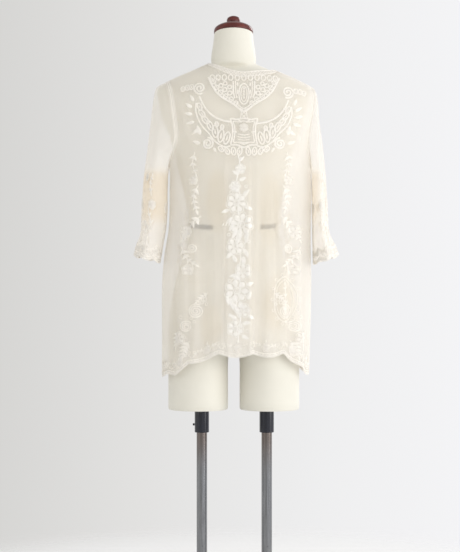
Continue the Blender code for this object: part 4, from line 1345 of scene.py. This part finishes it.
# The loop's own angles, opened out a little towards even spacing
def even_angles(angles):
    count = len(angles)
    unwrapped = list(np.unwrap(angles))
    sign = 1.0 if unwrapped[-1] > unwrapped[0] else -1.0
    even = [unwrapped[0] + sign * 2 * math.pi * step / count for step in range(count)]
    mean = sum(u - e for u, e in zip(unwrapped, even)) / count
    return [0.5 * u + 0.5 * (e + mean) for u, e in zip(unwrapped, even)]


# A place at the waist: how far round, over the middle of the tape, and out of the form
def waist_spot(turn, over, out):
    middle = TAPE_MIDDLE - TAPE_DIP * max(math.cos(turn), 0.0) ** 2
    away = np.array((math.sin(turn) * TAPE_TURN, -math.cos(turn), 0.0))
    away /= np.linalg.norm(away)
    return form_section(middle + over, turn) + away * out


def waist_tape(finish):
    points, faces = [], []
    for height, out in TAPE_SECTION:
        over, lift = TAPE_HEIGHT * height, TAPE_LOW + TAPE_THICK * out
        points.extend(waist_spot(turn, over, lift) for turn in ring_turns(FORM_SIDES))
    count = len(TAPE_SECTION)
    for row in range(count):
        faces.extend(ring_faces(row * FORM_SIDES, (row + 1) % count * FORM_SIDES, FORM_SIDES))
    dress(solid("tape", points, faces, finish), "waist_tape", "waist_tape")


# Stretches of cover cloth that hold the waist tape down, flush at their edges
def tape_casings(finish):
    points, faces = [], []
    for low, high in CASINGS:
        start = len(points)
        steps = int((high - low) / 2)
        for height, rise in CASING_SECTION:
            for step in range(steps + 1):
                turn = math.radians(low + (high - low) * step / steps)
                full = 1.0 if 0 < step < steps else CASING_END
                points.append(waist_spot(turn, CASING_HEIGHT * height, CASING_RISE * rise * full))
        faces.extend(grid_faces(len(CASING_SECTION), steps + 1, start))
    dress(solid("tape_casings", points, faces, finish), "form_cover")


# Wooden cap and knob, their profiles rounded on a smooth curve
def neck_top(finish):
    foot = (FORM_CENTRE, 0.0, NECK[-1][0])
    for node_name, profile in (("neck_cap", CAP_PROFILE), ("knob", KNOB_PROFILE)):
        inner = finer(profile[2:-1], TURNED_PARTS)
        rounded = [profile[1], *[tuple(spot) for spot in inner], profile[-1]]
        made = turned(node_name + "_turned", rounded, foot, finish, FORM_SIDES, NECK_TILT)
        dress(made, "stained_wood", node_name)


# A turned piece from radii and heights along an axis that may lean forward
def turned(name, profile, foot, finish, sides, lean=0.0):
    up = np.array((0.0, math.sin(lean), math.cos(lean)))
    ahead = np.array((0.0, math.cos(lean), -math.sin(lean)))
    points, faces, rings = [], [], []
    for radius, height in profile:
        middle = np.array(foot) + up * height
        if radius == 0:
            rings.append([len(points)] * sides)
            points.append(middle)
            continue
        rings.append(list(range(len(points), len(points) + sides)))
        for turn in ring_turns(sides):
            aside = np.array((radius * math.cos(turn), 0.0, 0.0))
            points.append(middle + aside + ahead * radius * math.sin(turn))
    for low, high in zip(rings, rings[1:]):
        for j in range(sides):
            k = (j + 1) % sides
            faces.append(tuple(dict.fromkeys((low[j], low[k], high[k], high[j]))))
    return solid(name, points, faces, finish)


# Turn round the body for a flat distance across; beyond EDGE_SHARE it is measured round the side
@functools.lru_cache(maxsize=None)
def side_turns(side, level):
    turns = np.linspace(math.asin(EDGE_SHARE), math.pi / 2, 25)
    spots = np.array([body_point(side, turn, level * LEVEL_STEP) for turn in turns])
    runs = np.cumsum(np.linalg.norm(np.diff(spots, axis=0), axis=1))
    return np.concatenate(([0.0], runs)), turns


def turn_at(side, x, z):
    width = between(BODY, "width", z)
    share = (x - between(BODY, "centre", z)) / width
    if abs(share) <= EDGE_SHARE:
        return math.asin(share)
    runs, turns = side_turns(side, round(z / LEVEL_STEP))
    turn = min(float(np.interp((abs(share) - EDGE_SHARE) * width, runs, turns)), SEAM_TURN)
    return math.copysign(turn, share)


# Places on the cloth: each gives a point and the outward direction there
def body_place(side, x, z):
    angle = turn_at(side, x, z)
    here = body_point(side, angle, z)
    aside = body_point(side, angle + 0.01, z) - body_point(side, angle - 0.01, z)
    up = body_point(side, angle, z + 0.002) - body_point(side, angle, z - 0.002)
    out = np.cross(up, aside) * side
    return here, out / np.linalg.norm(out)


back_place = functools.partial(body_place, -1)
front_place = functools.partial(body_place, 1)


# Smooth line through points, with a point every step
def smooth_line(points, step, closed=False):
    points = [np.array(p, dtype=float) for p in points]
    if closed:
        padded = points[-1:] + points + points[:2]
    else:
        padded = [2 * points[0] - points[1]] + points + [2 * points[-1] - points[-2]]
    line = []
    for a, b, c, d in zip(padded, padded[1:], padded[2:], padded[3:]):
        parts = max(int(np.linalg.norm(c - b) / step), 1)
        line.extend(on_curve(a, b, c, d, part / parts) for part in range(parts))
    if not closed:
        line.append(points[-1])
    return line


# The place that lies a along and b across from another, turned by an angle
def set_off(x, z, a, b, turn):
    return x + a * math.cos(turn) - b * math.sin(turn), z + a * math.sin(turn) + b * math.cos(turn)


# Collects raised stitching on one surface and makes one mesh of it
class Stitching:
    def __init__(self, place):
        self.place = place
        self.points, self.faces, self.cuts = [], [], []

    def cord(self, line, width=0.0036, height=0.0010, closed=False, smooth=True):
        if smooth:
            line = smooth_line(line, STITCH_STEP, closed)
        if len(line) < 3:
            return
        spots, outs = zip(*(self.place(p[0], p[1]) for p in line))
        spots, outs = np.array(spots), np.array(outs)
        if closed:
            ahead = np.roll(spots, -1, axis=0) - np.roll(spots, 1, axis=0)
        else:
            ahead = np.gradient(spots, axis=0)
        aside = np.cross(ahead, outs)
        aside /= np.maximum(np.linalg.norm(aside, axis=1, keepdims=True), 1e-9)
        start, count = len(self.points), len(line)
        run = 0.0
        for i in range(count):
            if i:
                run += float(np.linalg.norm(spots[i] - spots[i - 1]))
            for across, up in CORD_PROFILE:
                offset = aside[i] * (across * width / 2)
                lift = outs[i] * (CORD_LIFT + up * height)
                self.points.append(spots[i] + offset + lift)
                self.cuts.append((across * width / 2, run))
        sides = len(CORD_PROFILE)
        for i in range(count if closed else count - 1):
            here, after = start + i * sides, start + (i + 1) % count * sides
            for j in range(sides - 1):
                self.faces.append((here + j, after + j, after + j + 1, here + j + 1))

    def ring(self, x, z, wide, tall=None, turn=0.0, width=0.0030, height=0.0009):
        tall = wide if tall is None else tall
        count = max(int(2 * math.pi * max(wide, tall) / STITCH_STEP), 10)
        line = []
        for step in range(count):
            t = 2 * math.pi * step / count
            line.append(set_off(x, z, wide * math.cos(t), tall * math.sin(t), turn))
        self.cord(line, width, height, closed=True, smooth=False)

    def spiral(self, x, z, radius, turns, start, hand=1, width=0.0032):
        count = max(int(2 * math.pi * radius * turns * 0.6 / STITCH_STEP), 16)
        line = []
        for step in range(count + 1):
            t = step / count
            r = radius + (SPIRAL_END - radius) * t
            turn = start + hand * 2 * math.pi * turns * t
            line.append((x + r * math.cos(turn), z + r * math.sin(turn)))
        self.cord(line, width, smooth=False)

    # A padded petal or leaf: an outline from root to tip, domed, stitched from its middle line
    def petal(self, x, z, length, width, turn, height=0.0011, point=0.7, bend=0.0):
        rows, columns = max(int(length / STITCH_STEP), 5), PETAL_COLUMNS
        start = len(self.points)
        for row in range(rows + 1):
            t = row / rows
            half = width / 2 * math.sin(math.pi * t ** point) ** 0.75 if 0 < t < 1 else 0.0003
            curve = bend * math.sin(math.pi * t)
            for column in range(columns + 1):
                s = 2 * column / columns - 1
                a, b = length * t, half * s + curve
                here, out = self.place(*set_off(x, z, a, b, turn))
                groove = 1 - PETAL_GROOVE * math.exp(-(s / GROOVE_WIDE) ** 2)
                dome = math.sqrt(max(1 - s * s, 0.0)) * groove
                full = min(half / (width / 2) * 1.6, 1.0)
                self.points.append(here + out * (CORD_LIFT + height * dome * full))
                self.cuts.append((a + abs(half * s) * 0.9, b))
        for row in range(rows):
            for column in range(columns):
                k = start + row * (columns + 1) + column
                self.faces.append((k, k + 1, k + columns + 2, k + columns + 1))

    # Petals round a heart, each outlined by a fine cord
    def flower(self, x, z, radius, petals, turn=0.0):
        near = radius * FLOWER_HEART * 1.15
        wide = 2 * radius * math.sin(math.pi / petals) * 0.62
        for number in range(petals):
            way = turn + 2 * math.pi * number / petals
            root = (x + near * math.cos(way), z + near * math.sin(way))
            self.petal(*root, radius - near, wide, way, point=1.25)
            tip = (x + radius * 0.66 * math.cos(way), z + radius * 0.66 * math.sin(way))
            self.ring(*tip, radius * 0.44, wide * 0.72, way, width=0.0018, height=0.0013)
        self.ring(x, z, radius * FLOWER_HEART, width=0.0022)
        if radius > SMALL_FLOWER:
            self.ring(x, z, radius * FLOWER_HEART * 0.45, width=0.0018)

    # A stem with leaves in pairs, from its root to its tip
    def spray(self, line, leaves, size, width=0.0026):
        self.cord(line, width)
        path = smooth_line(line, STITCH_STEP)
        for number in range(leaves):
            share = (number + 0.7) / (leaves + 0.2)
            i = min(int(share * (len(path) - 1)), len(path) - 2)
            way = math.atan2(path[i + 1][1] - path[i][1], path[i + 1][0] - path[i][0])
            grown = size * (1.0 - 0.35 * share)
            for hand in (-1, 1):
                bend = -hand * grown * 0.08
                self.petal(*path[i], grown, grown * 0.42, way + hand * LEAF_TURN, bend=bend)
        way = math.atan2(path[-1][1] - path[-2][1], path[-1][0] - path[-2][0])
        self.petal(*path[-1], size * 0.8, size * 0.32, way)

    def made(self, name, finish, *nodes):
        made = soft_mesh(name, np.array(self.points), self.faces, np.array(self.cuts), finish)
        dress(made, "raised_embroidery", *nodes)


# Yoke embroidery: places run across from the motif's centre line, mirrored
def spot_at(across, height, hand):
    return MOTIF_CENTRE + hand * across, height


def mirrored_line(points, hand):
    return [spot_at(across, height, hand) for across, height in points]


# Turn of a mirrored motif, from its degrees on the right
def mirrored(degrees, hand):
    return math.radians(degrees if hand > 0 else 180 - degrees)


# The bib hangs a little lower on the right
def dipped(height, hand):
    dip = YOKE_DIP if hand > 0 else 0.0
    return height - dip * ease((height - DIP_START) / DIP_LENGTH)


def yoke_collar(work, hand):
    work.cord(mirrored_line(COLLAR_OUTLINE, hand), 0.0050)
    work.cord(mirrored_line(COLLAR_INNER, hand), 0.0030)
    work.cord(mirrored_line(COLLAR_RIM, hand), 0.0040)
    work.cord(mirrored_line([(across - RIM_BAND, height) for across, height in COLLAR_RIM], hand), 0.0030)
    for across, height, size in YOKE_RINGS[1:]:
        work.ring(*spot_at(across, height, hand), size, width=0.0034)
    for across in NECK_RINGS[hand < 0:]:
        work.ring(*spot_at(across, NECK_RING_LINE, hand), 0.0056, 0.0076, width=0.0034)
    for across, height, long, wide, degrees in YOKE_PETALS[1:]:
        work.petal(*spot_at(across, height, hand), long, wide, mirrored(degrees, hand))


def yoke_centre(work):
    x = MOTIF_CENTRE
    work.ring(x, 1.2990, 0.0130, 0.0270, width=0.0036)
    work.ring(x, 1.2990, 0.0078, 0.0200, width=0.0026)
    for height in CENTRE_LEAVES:
        work.petal(x, height, 0.0085, 0.0046, math.pi / 2)
    for hand in (-1, 1):
        work.ring(x + hand * 0.0052, 1.2560, 0.0032, width=0.0022)
        work.cord(mirrored_line(CENTRE_CORD, hand), 0.0026)
    work.ring(x, 1.2455, 0.0042, width=0.0022)
    work.ring(x, 1.2365, 0.0034, width=0.0020)


def yoke_square(work):
    x = MOTIF_CENTRE
    for scale, width in ((1.0, 0.0044), (0.80, 0.0030)):
        line = [(x + across * scale, SQUARE_MIDDLE + height * scale) for across, height in SQUARE_OUTLINE]
        work.cord(line, width, closed=True)
    work.flower(x, 1.2110, 0.0105, 6, math.pi / 2)
    for number, half in enumerate((0.0150, 0.0165, 0.0150, 0.0120)):
        height = 1.1930 - 0.0068 * number
        work.cord(((x - half, height + 0.0012), (x, height - 0.0012), (x + half, height + 0.0012)), 0.0026)
    for hand in (-1, 1):
        work.petal(x + hand * 0.0060, 1.2240, 0.0120, 0.0052, math.pi / 2 - hand * 0.9)
        work.petal(x + hand * 0.0180, SQUARE_MIDDLE, 0.0100, 0.0050, math.pi / 2 - hand * 1.4)


def yoke_bib(work, hand):
    for line, width in ((BIB_LINE, 0.0048), (BIB_EDGE, 0.0042)):
        work.cord(mirrored_line([(across, dipped(height, hand)) for across, height in line], hand), width)
    top = 1.3150 - (YOKE_DIP if hand > 0 else 0.0)
    start = math.pi * 1.35 if hand > 0 else -math.pi * 0.35
    work.spiral(MOTIF_CENTRE + hand * 0.1140, top, 0.0160, 2.0, start, hand, 0.0048)
    work.spiral(MOTIF_CENTRE + hand * 0.0930, 1.1705, 0.0150, 2.0, math.pi / 2, hand, 0.0048)
    for across, height, long, wide, degrees in BIB_LOOPS[1:]:
        turn = mirrored(degrees, hand)
        x, z = spot_at(across, dipped(height, hand), hand)
        work.ring(x, z, long / 2, wide / 2, turn, width=0.0038)
        root = (x - math.cos(turn) * long * 0.26, z - math.sin(turn) * long * 0.26)
        work.petal(*root, long * 0.52, wide * 0.34, turn)
    for across, height, long, wide, degrees in BIB_LEAVES[1:]:
        spot = spot_at(across, dipped(height, hand), hand)
        work.petal(*spot, long, wide, mirrored(degrees, hand))


# Places along an edge of the cloth: metres along it and metres in from it
def edge_place(grid, outward_of):
    along = np.concatenate(([0.0], np.cumsum(np.linalg.norm(np.diff(grid[0], axis=0), axis=1))))
    depth = np.linalg.norm(np.diff(grid, axis=0), axis=2)
    depth = np.concatenate((np.zeros((1, grid.shape[1])), np.cumsum(depth, axis=0)))
    outs = grid_normals(grid)
    outs = outs * np.sign(np.sum(outs * outward_of(grid), axis=2, keepdims=True))
    numbers = np.arange(grid.shape[1])
    rows = np.arange(grid.shape[0])

    def between_four(values, i, j, u, t):
        corners = values[i:i + 2, j:j + 2]
        row = corners[0] * (1 - u) + corners[1] * u
        return row[0] * (1 - t) + row[1] * t

    def place(s, d):
        j = float(np.interp(s, along, numbers))
        j0 = min(int(j), grid.shape[1] - 2)
        t = j - j0
        column = depth[:, j0] * (1 - t) + depth[:, j0 + 1] * t
        i = float(np.interp(max(d, 0.0), column, rows))
        i0 = min(int(i), grid.shape[0] - 2)
        here = between_four(grid, i0, j0, i - i0, t)
        out = between_four(outs, i0, j0, i - i0, t)
        if d < 0:
            inward = grid[1, j0] - grid[0, j0]
            here = here + inward / max(np.linalg.norm(inward), 1e-9) * d
        return here, out / max(np.linalg.norm(out), 1e-9)

    return place, float(along[-1])


# Which way is outward, for each point of a grid
def behind(grid):
    return np.array((0.0, -1.0, 0.0))


def before(grid):
    return np.array((0.0, 1.0, 0.0))


def above(grid):
    return np.array((0.0, 0.0, 1.0))


def outward(grid):
    return grid * np.array((1.0, 1.0, 0.0))


def around(grid):
    return grid - grid.mean(axis=1, keepdims=True)


def around_rows(grid):
    return grid - grid.mean(axis=0)


# A flat cord along an edge, at one distance in from it
def straight_cord(work, length, depth, width, height=0.0010, step=STITCH_STEP):
    count = max(int(length / step), 2)
    line = [(length * i / count, depth) for i in range(count + 1)]
    work.cord(line, width, height, smooth=False)


# Middles of equal parts along an edge
def spread(length, count):
    return [length * (number + 0.5) / count for number in range(count)]


# Corded scalloped edge with picots, and a row of small rings inside it
def corded_edge(work, length):
    straight_cord(work, length, 0.0006, 0.0030, 0.0012)
    straight_cord(work, length, EDGE_BAND, 0.0024, 0.0009)
    for s in spread(length, int(length / PICOT_PITCH)):
        work.ring(s, -0.0013, 0.0019, 0.0017, width=0.0016)
    for s in spread(length, int(length / (EDGE_BAND * 1.25))):
        work.ring(s, EDGE_BAND * 0.54, EDGE_BAND * 0.30, width=0.0017, height=0.0008)


# A flower between two leafy sprays, repeated along an edge
def flower_border(work, length, count, depth, size):
    pitch = length / count
    for number in range(count):
        s = pitch * (number + 0.5)
        if s > length - size * 0.8 or s < size * 0.8:
            continue
        work.flower(s, depth, size, 6 if number % 2 else 5, math.pi / 2 + 0.4 * number)
        for hand in (-1, 1):
            root = (s + hand * size * 1.05, depth + size * 0.15)
            tip = (s + hand * pitch * 0.43, depth - size * 0.55)
            middle = ((root[0] + tip[0]) / 2, depth + size * 0.55)
            work.spray((root, middle, tip), 3, size * 0.85, 0.0022)
            work.ring(s + hand * pitch * 0.42, depth + size * 0.35, 0.0030, width=0.0018)
        work.petal(s, depth + size * 1.15, size * 0.95, size * 0.42, math.pi / 2)


# Seams: rolled allowances that show through the net as close lines
def seam_line(work, length):
    straight_cord(work, length, 0.0020, 0.0032, step=SEAM_STEP)
    straight_cord(work, length, 0.0058, 0.0012, 0.0005, SEAM_STEP)


# One piece of stitching along an edge of a grid, made in the steps given
def edge_work(name, finish, grid, outward_of, *steps):
    place, length = edge_place(grid, outward_of)
    work = Stitching(place)
    for step in steps:
        step(work, length)
    work.made(name, finish)


# Floral column down the middle of the back
def back_column(work):
    x = COLUMN_X
    work.cord([(x + across, height) for across, height in COLUMN_STEM], 0.0030)
    for across, height, radius, petals, degrees in COLUMN_FLOWERS[1:]:
        work.flower(x + across, height, radius * COLUMN_FULL, petals, math.radians(degrees))
    for across, height, long, wide, degrees, bend in COLUMN_LEAVES[1:]:
        work.petal(x + across, height, long, wide * COLUMN_FULL, math.radians(degrees), bend=bend)
    for across, height, radius in COLUMN_RINGS[1:]:
        work.ring(x + across, height, radius, width=0.0022)
    for number in range(WAIST_LEAVES):
        work.petal(WAIST_START + 0.0075 * number, WAIST_LINE, 0.0100, 0.0032, math.radians(62))


# Scrolls, sprays and flowers down one side of the back, mirrored
def side_scrolls(work, hand):
    for across, height, radius, turns, degrees, way in SIDE_SPIRALS[1:]:
        turn = mirrored(degrees, -hand)
        work.spiral(side_x(across, hand), height, radius, turns, turn, way * -hand)
    for line, leaves, size in SIDE_SPRAYS:
        work.spray([(side_x(across, hand), height) for across, height in line], leaves, size)
    for across, height, radius, petals, degrees in SIDE_FLOWERS[1:]:
        work.flower(side_x(across, hand), height, radius, petals, math.radians(degrees))
    for across, height, radius in SIDE_RINGS[1:]:
        work.ring(side_x(across, hand), height, radius, width=0.0022)


def side_x(across, hand):
    return SIDE_MIDDLE + hand * across


# Oval medallion of cord with a sprig in it
def medallion(work, x, z):
    work.ring(x, z, 0.029, 0.058, width=0.0024)
    work.ring(x, z, 0.023, 0.050, width=0.0020)
    work.spray(((x, z - 0.040), (x + 0.003, z), (x, z + 0.034)), 4, 0.015)
    for turn in ring_turns(MEDALLION_RINGS):
        work.ring(x + 0.0345 * math.cos(turn), z + 0.0645 * math.sin(turn), 0.0034, width=0.0018)


# Raised work on the fronts, mirrored: flowers with leaves, and sprays between them
def front_sprigs(work, hand):
    for across, height, radius, petals, degrees in FRONT_FLOWERS[1:]:
        x = FRONT_CENTRE + hand * across
        work.flower(x, height, radius, petals, math.radians(degrees))
        for side in (-1, 1):
            work.petal(x + side * radius * 0.8, height - radius * 0.9, radius * 1.4, radius * 0.55,
                       -math.pi / 2 + side * 0.7)
            work.petal(x + side * radius * 0.8, height + radius * 0.8, radius * 1.2, radius * 0.5,
                       math.pi / 2 - side * 0.7)
    for line, leaves, size in FRONT_SPRAYS:
        work.spray([(FRONT_CENTRE + hand * across, height) for across, height in line], leaves, size)


# Upright loops in a row along an edge, each with a petal in it
def edge_loops(work, length, pitch, depth, long, wide):
    for s in spread(length, int(length / pitch)):
        work.ring(s, depth, wide / 2, long / 2, width=0.0022)
        work.petal(s, depth - long * 0.28, long * 0.56, wide * 0.36, math.pi / 2)


# Borders of the neck and of the front edges: loops between cords
def neck_border(work, length):
    straight_cord(work, length, 0.0010, 0.0034, 0.0014)
    edge_loops(work, length, 0.0092, 0.0090, 0.0110, 0.0072)
    straight_cord(work, length, 0.0165, 0.0024)


def front_border(work, length):
    corded_edge(work, length)
    edge_loops(work, length, 0.0120, 0.0150, 0.0120, 0.0085)
    straight_cord(work, length, 0.0235, 0.0024)


# Hems: a corded edge, and flowers over it
def hem_border(count):
    def stitch(work, length):
        corded_edge(work, length)
        flower_border(work, length, count, 0.022, 0.0105)

    return stitch


# Dense work on the lower sleeve: a border, and sprays that climb from the cuff
def cuff_border(work, length):
    corded_edge(work, length)
    flower_border(work, length, CUFF_FLOWERS, 0.021, 0.0090)
    for number, s in enumerate(spread(length, CUFF_SPRAYS)):
        lean = CUFF_LEAN if number % 2 else -CUFF_LEAN
        work.spray(((s, 0.034), (s + lean, 0.062), (s, 0.092), (s + lean * 0.6, 0.122)), 5, 0.017)
        work.flower(s, 0.142, 0.0120, 6, 0.3 * number)
        work.spiral(s + lean * 1.4, 0.084, 0.0085, 1.8, 0.5 * number)
        if number % 2:
            work.flower(s + length / CUFF_SPRAYS * 0.5, 0.205, 0.0100, 5, 0.5)
            work.spray(((s + 0.004, 0.165), (s + 0.012, 0.190), (s + 0.008, 0.214)), 3, 0.013)


# The scene: light, then the gown and the form, then the stitching
camera()
bpy.context.scene.view_settings.view_transform = "Standard"
studio()
floor()
for light in LIGHTS:
    area_light(*light)

tulle = tulle_finish()
stitched = cord_finish("raised_embroidery", *STITCH_TONES)
satin = cord_finish("satin_embroidery", *SATIN_TONES)
cover = cover_finish()
pieces = gown(tulle)
dress_form(cover)
waist_tape(tape_finish())
tape_casings(cover)
wood = wood_finish()
neck_top(wood)
yoke_work = Stitching(back_place)
for hand in (-1, 1):
    yoke_collar(yoke_work, hand)
    yoke_bib(yoke_work, hand)
yoke_centre(yoke_work)
yoke_square(yoke_work)
yoke_work.made("yoke_embroidery", stitched, "yoke_collar", "yoke_bib")

back_work = Stitching(back_place)
back_column(back_work)
back_work.made("column_embroidery", satin)

side_work = Stitching(back_place)
for hand in (-1, 1):
    side_scrolls(side_work, hand)
medallion(side_work, *MEDALLION)
side_work.made("back_embroidery", stitched)

# Edges of the back: the hem, and the neck between its ends on the shoulder seams
back = pieces["back"][1]
first, last = (int(np.argmin(np.abs(back[0, :, 0] - end))) for end in (NECK_LEFT, NECK_RIGHT))
edge_work("hem_back_embroidery", stitched, back[::-1], behind, hem_border(HEM_FLOWERS_BACK))
edge_work("neck_embroidery", stitched, back[:, first:last + 1], behind, neck_border)

for hand, name in ((-1, "left"), (1, "right")):
    front = pieces["front_" + name][1]
    work = Stitching(front_place)
    front_sprigs(work, hand)
    work.made("front_" + name + "_embroidery", stitched)
    edge_work("front_" + name + "_edging", stitched, front.transpose(1, 0, 2), before, front_border)
    edge_work("hem_" + name + "_embroidery", stitched, front[::-1], before, hem_border(HEM_FLOWERS_FRONT))
    sleeve = pieces["sleeve_" + name][1]
    edge_work("sleeve_" + name + "_embroidery", stitched, sleeve[::-1], around, cuff_border)
    edge_work("armhole_" + name + "_seam", stitched, sleeve, around, seam_line)
    edge_work("underarm_" + name + "_seam", stitched, sleeve.transpose(1, 0, 2), around_rows, seam_line)
    side = back.transpose(1, 0, 2)[::-hand]
    edge_work("side_" + name + "_seam", stitched, side, outward, seam_line)
    shoulder = back[:, :first + 1] if hand * (back[0, 0, 0] - back[0, -1, 0]) > 0 else back[:, last:]
    edge_work("shoulder_" + name + "_seam", stitched, shoulder, above, seam_line)

# Rigid metal and wooden parts keep the shapes of their CAD solids
CAD_LOOKS = {
    "stained_wood": wood,
    # The pole's colour turns browner from 0.30 m up to 0.42 m
    "brushed_pole": metal_finish("brushed_pole", (0.235, 0.24, 0.248), 0.20, (60.0, 60.0, 1.5),
                                 top_tint=((0.150, 0.115, 0.095), 0.30, 0.42, 0.75)),
    "black_collar": metal_finish("black_collar", (0.006, 0.007, 0.014), 0.12, (30.0, 30.0, 30.0), 0.0),
    "base_steel": metal_finish("base_steel", (0.32, 0.32, 0.33), 0.42, (3.0, 60.0, 3.0)),
}
for part in frame["record"]["subparts"]:
    if part["material_slot"] in CAD_LOOKS:
        for holder in bpy.data.objects[part["node"]].material_slots:
            holder.material = CAD_LOOKS[part["material_slot"]]
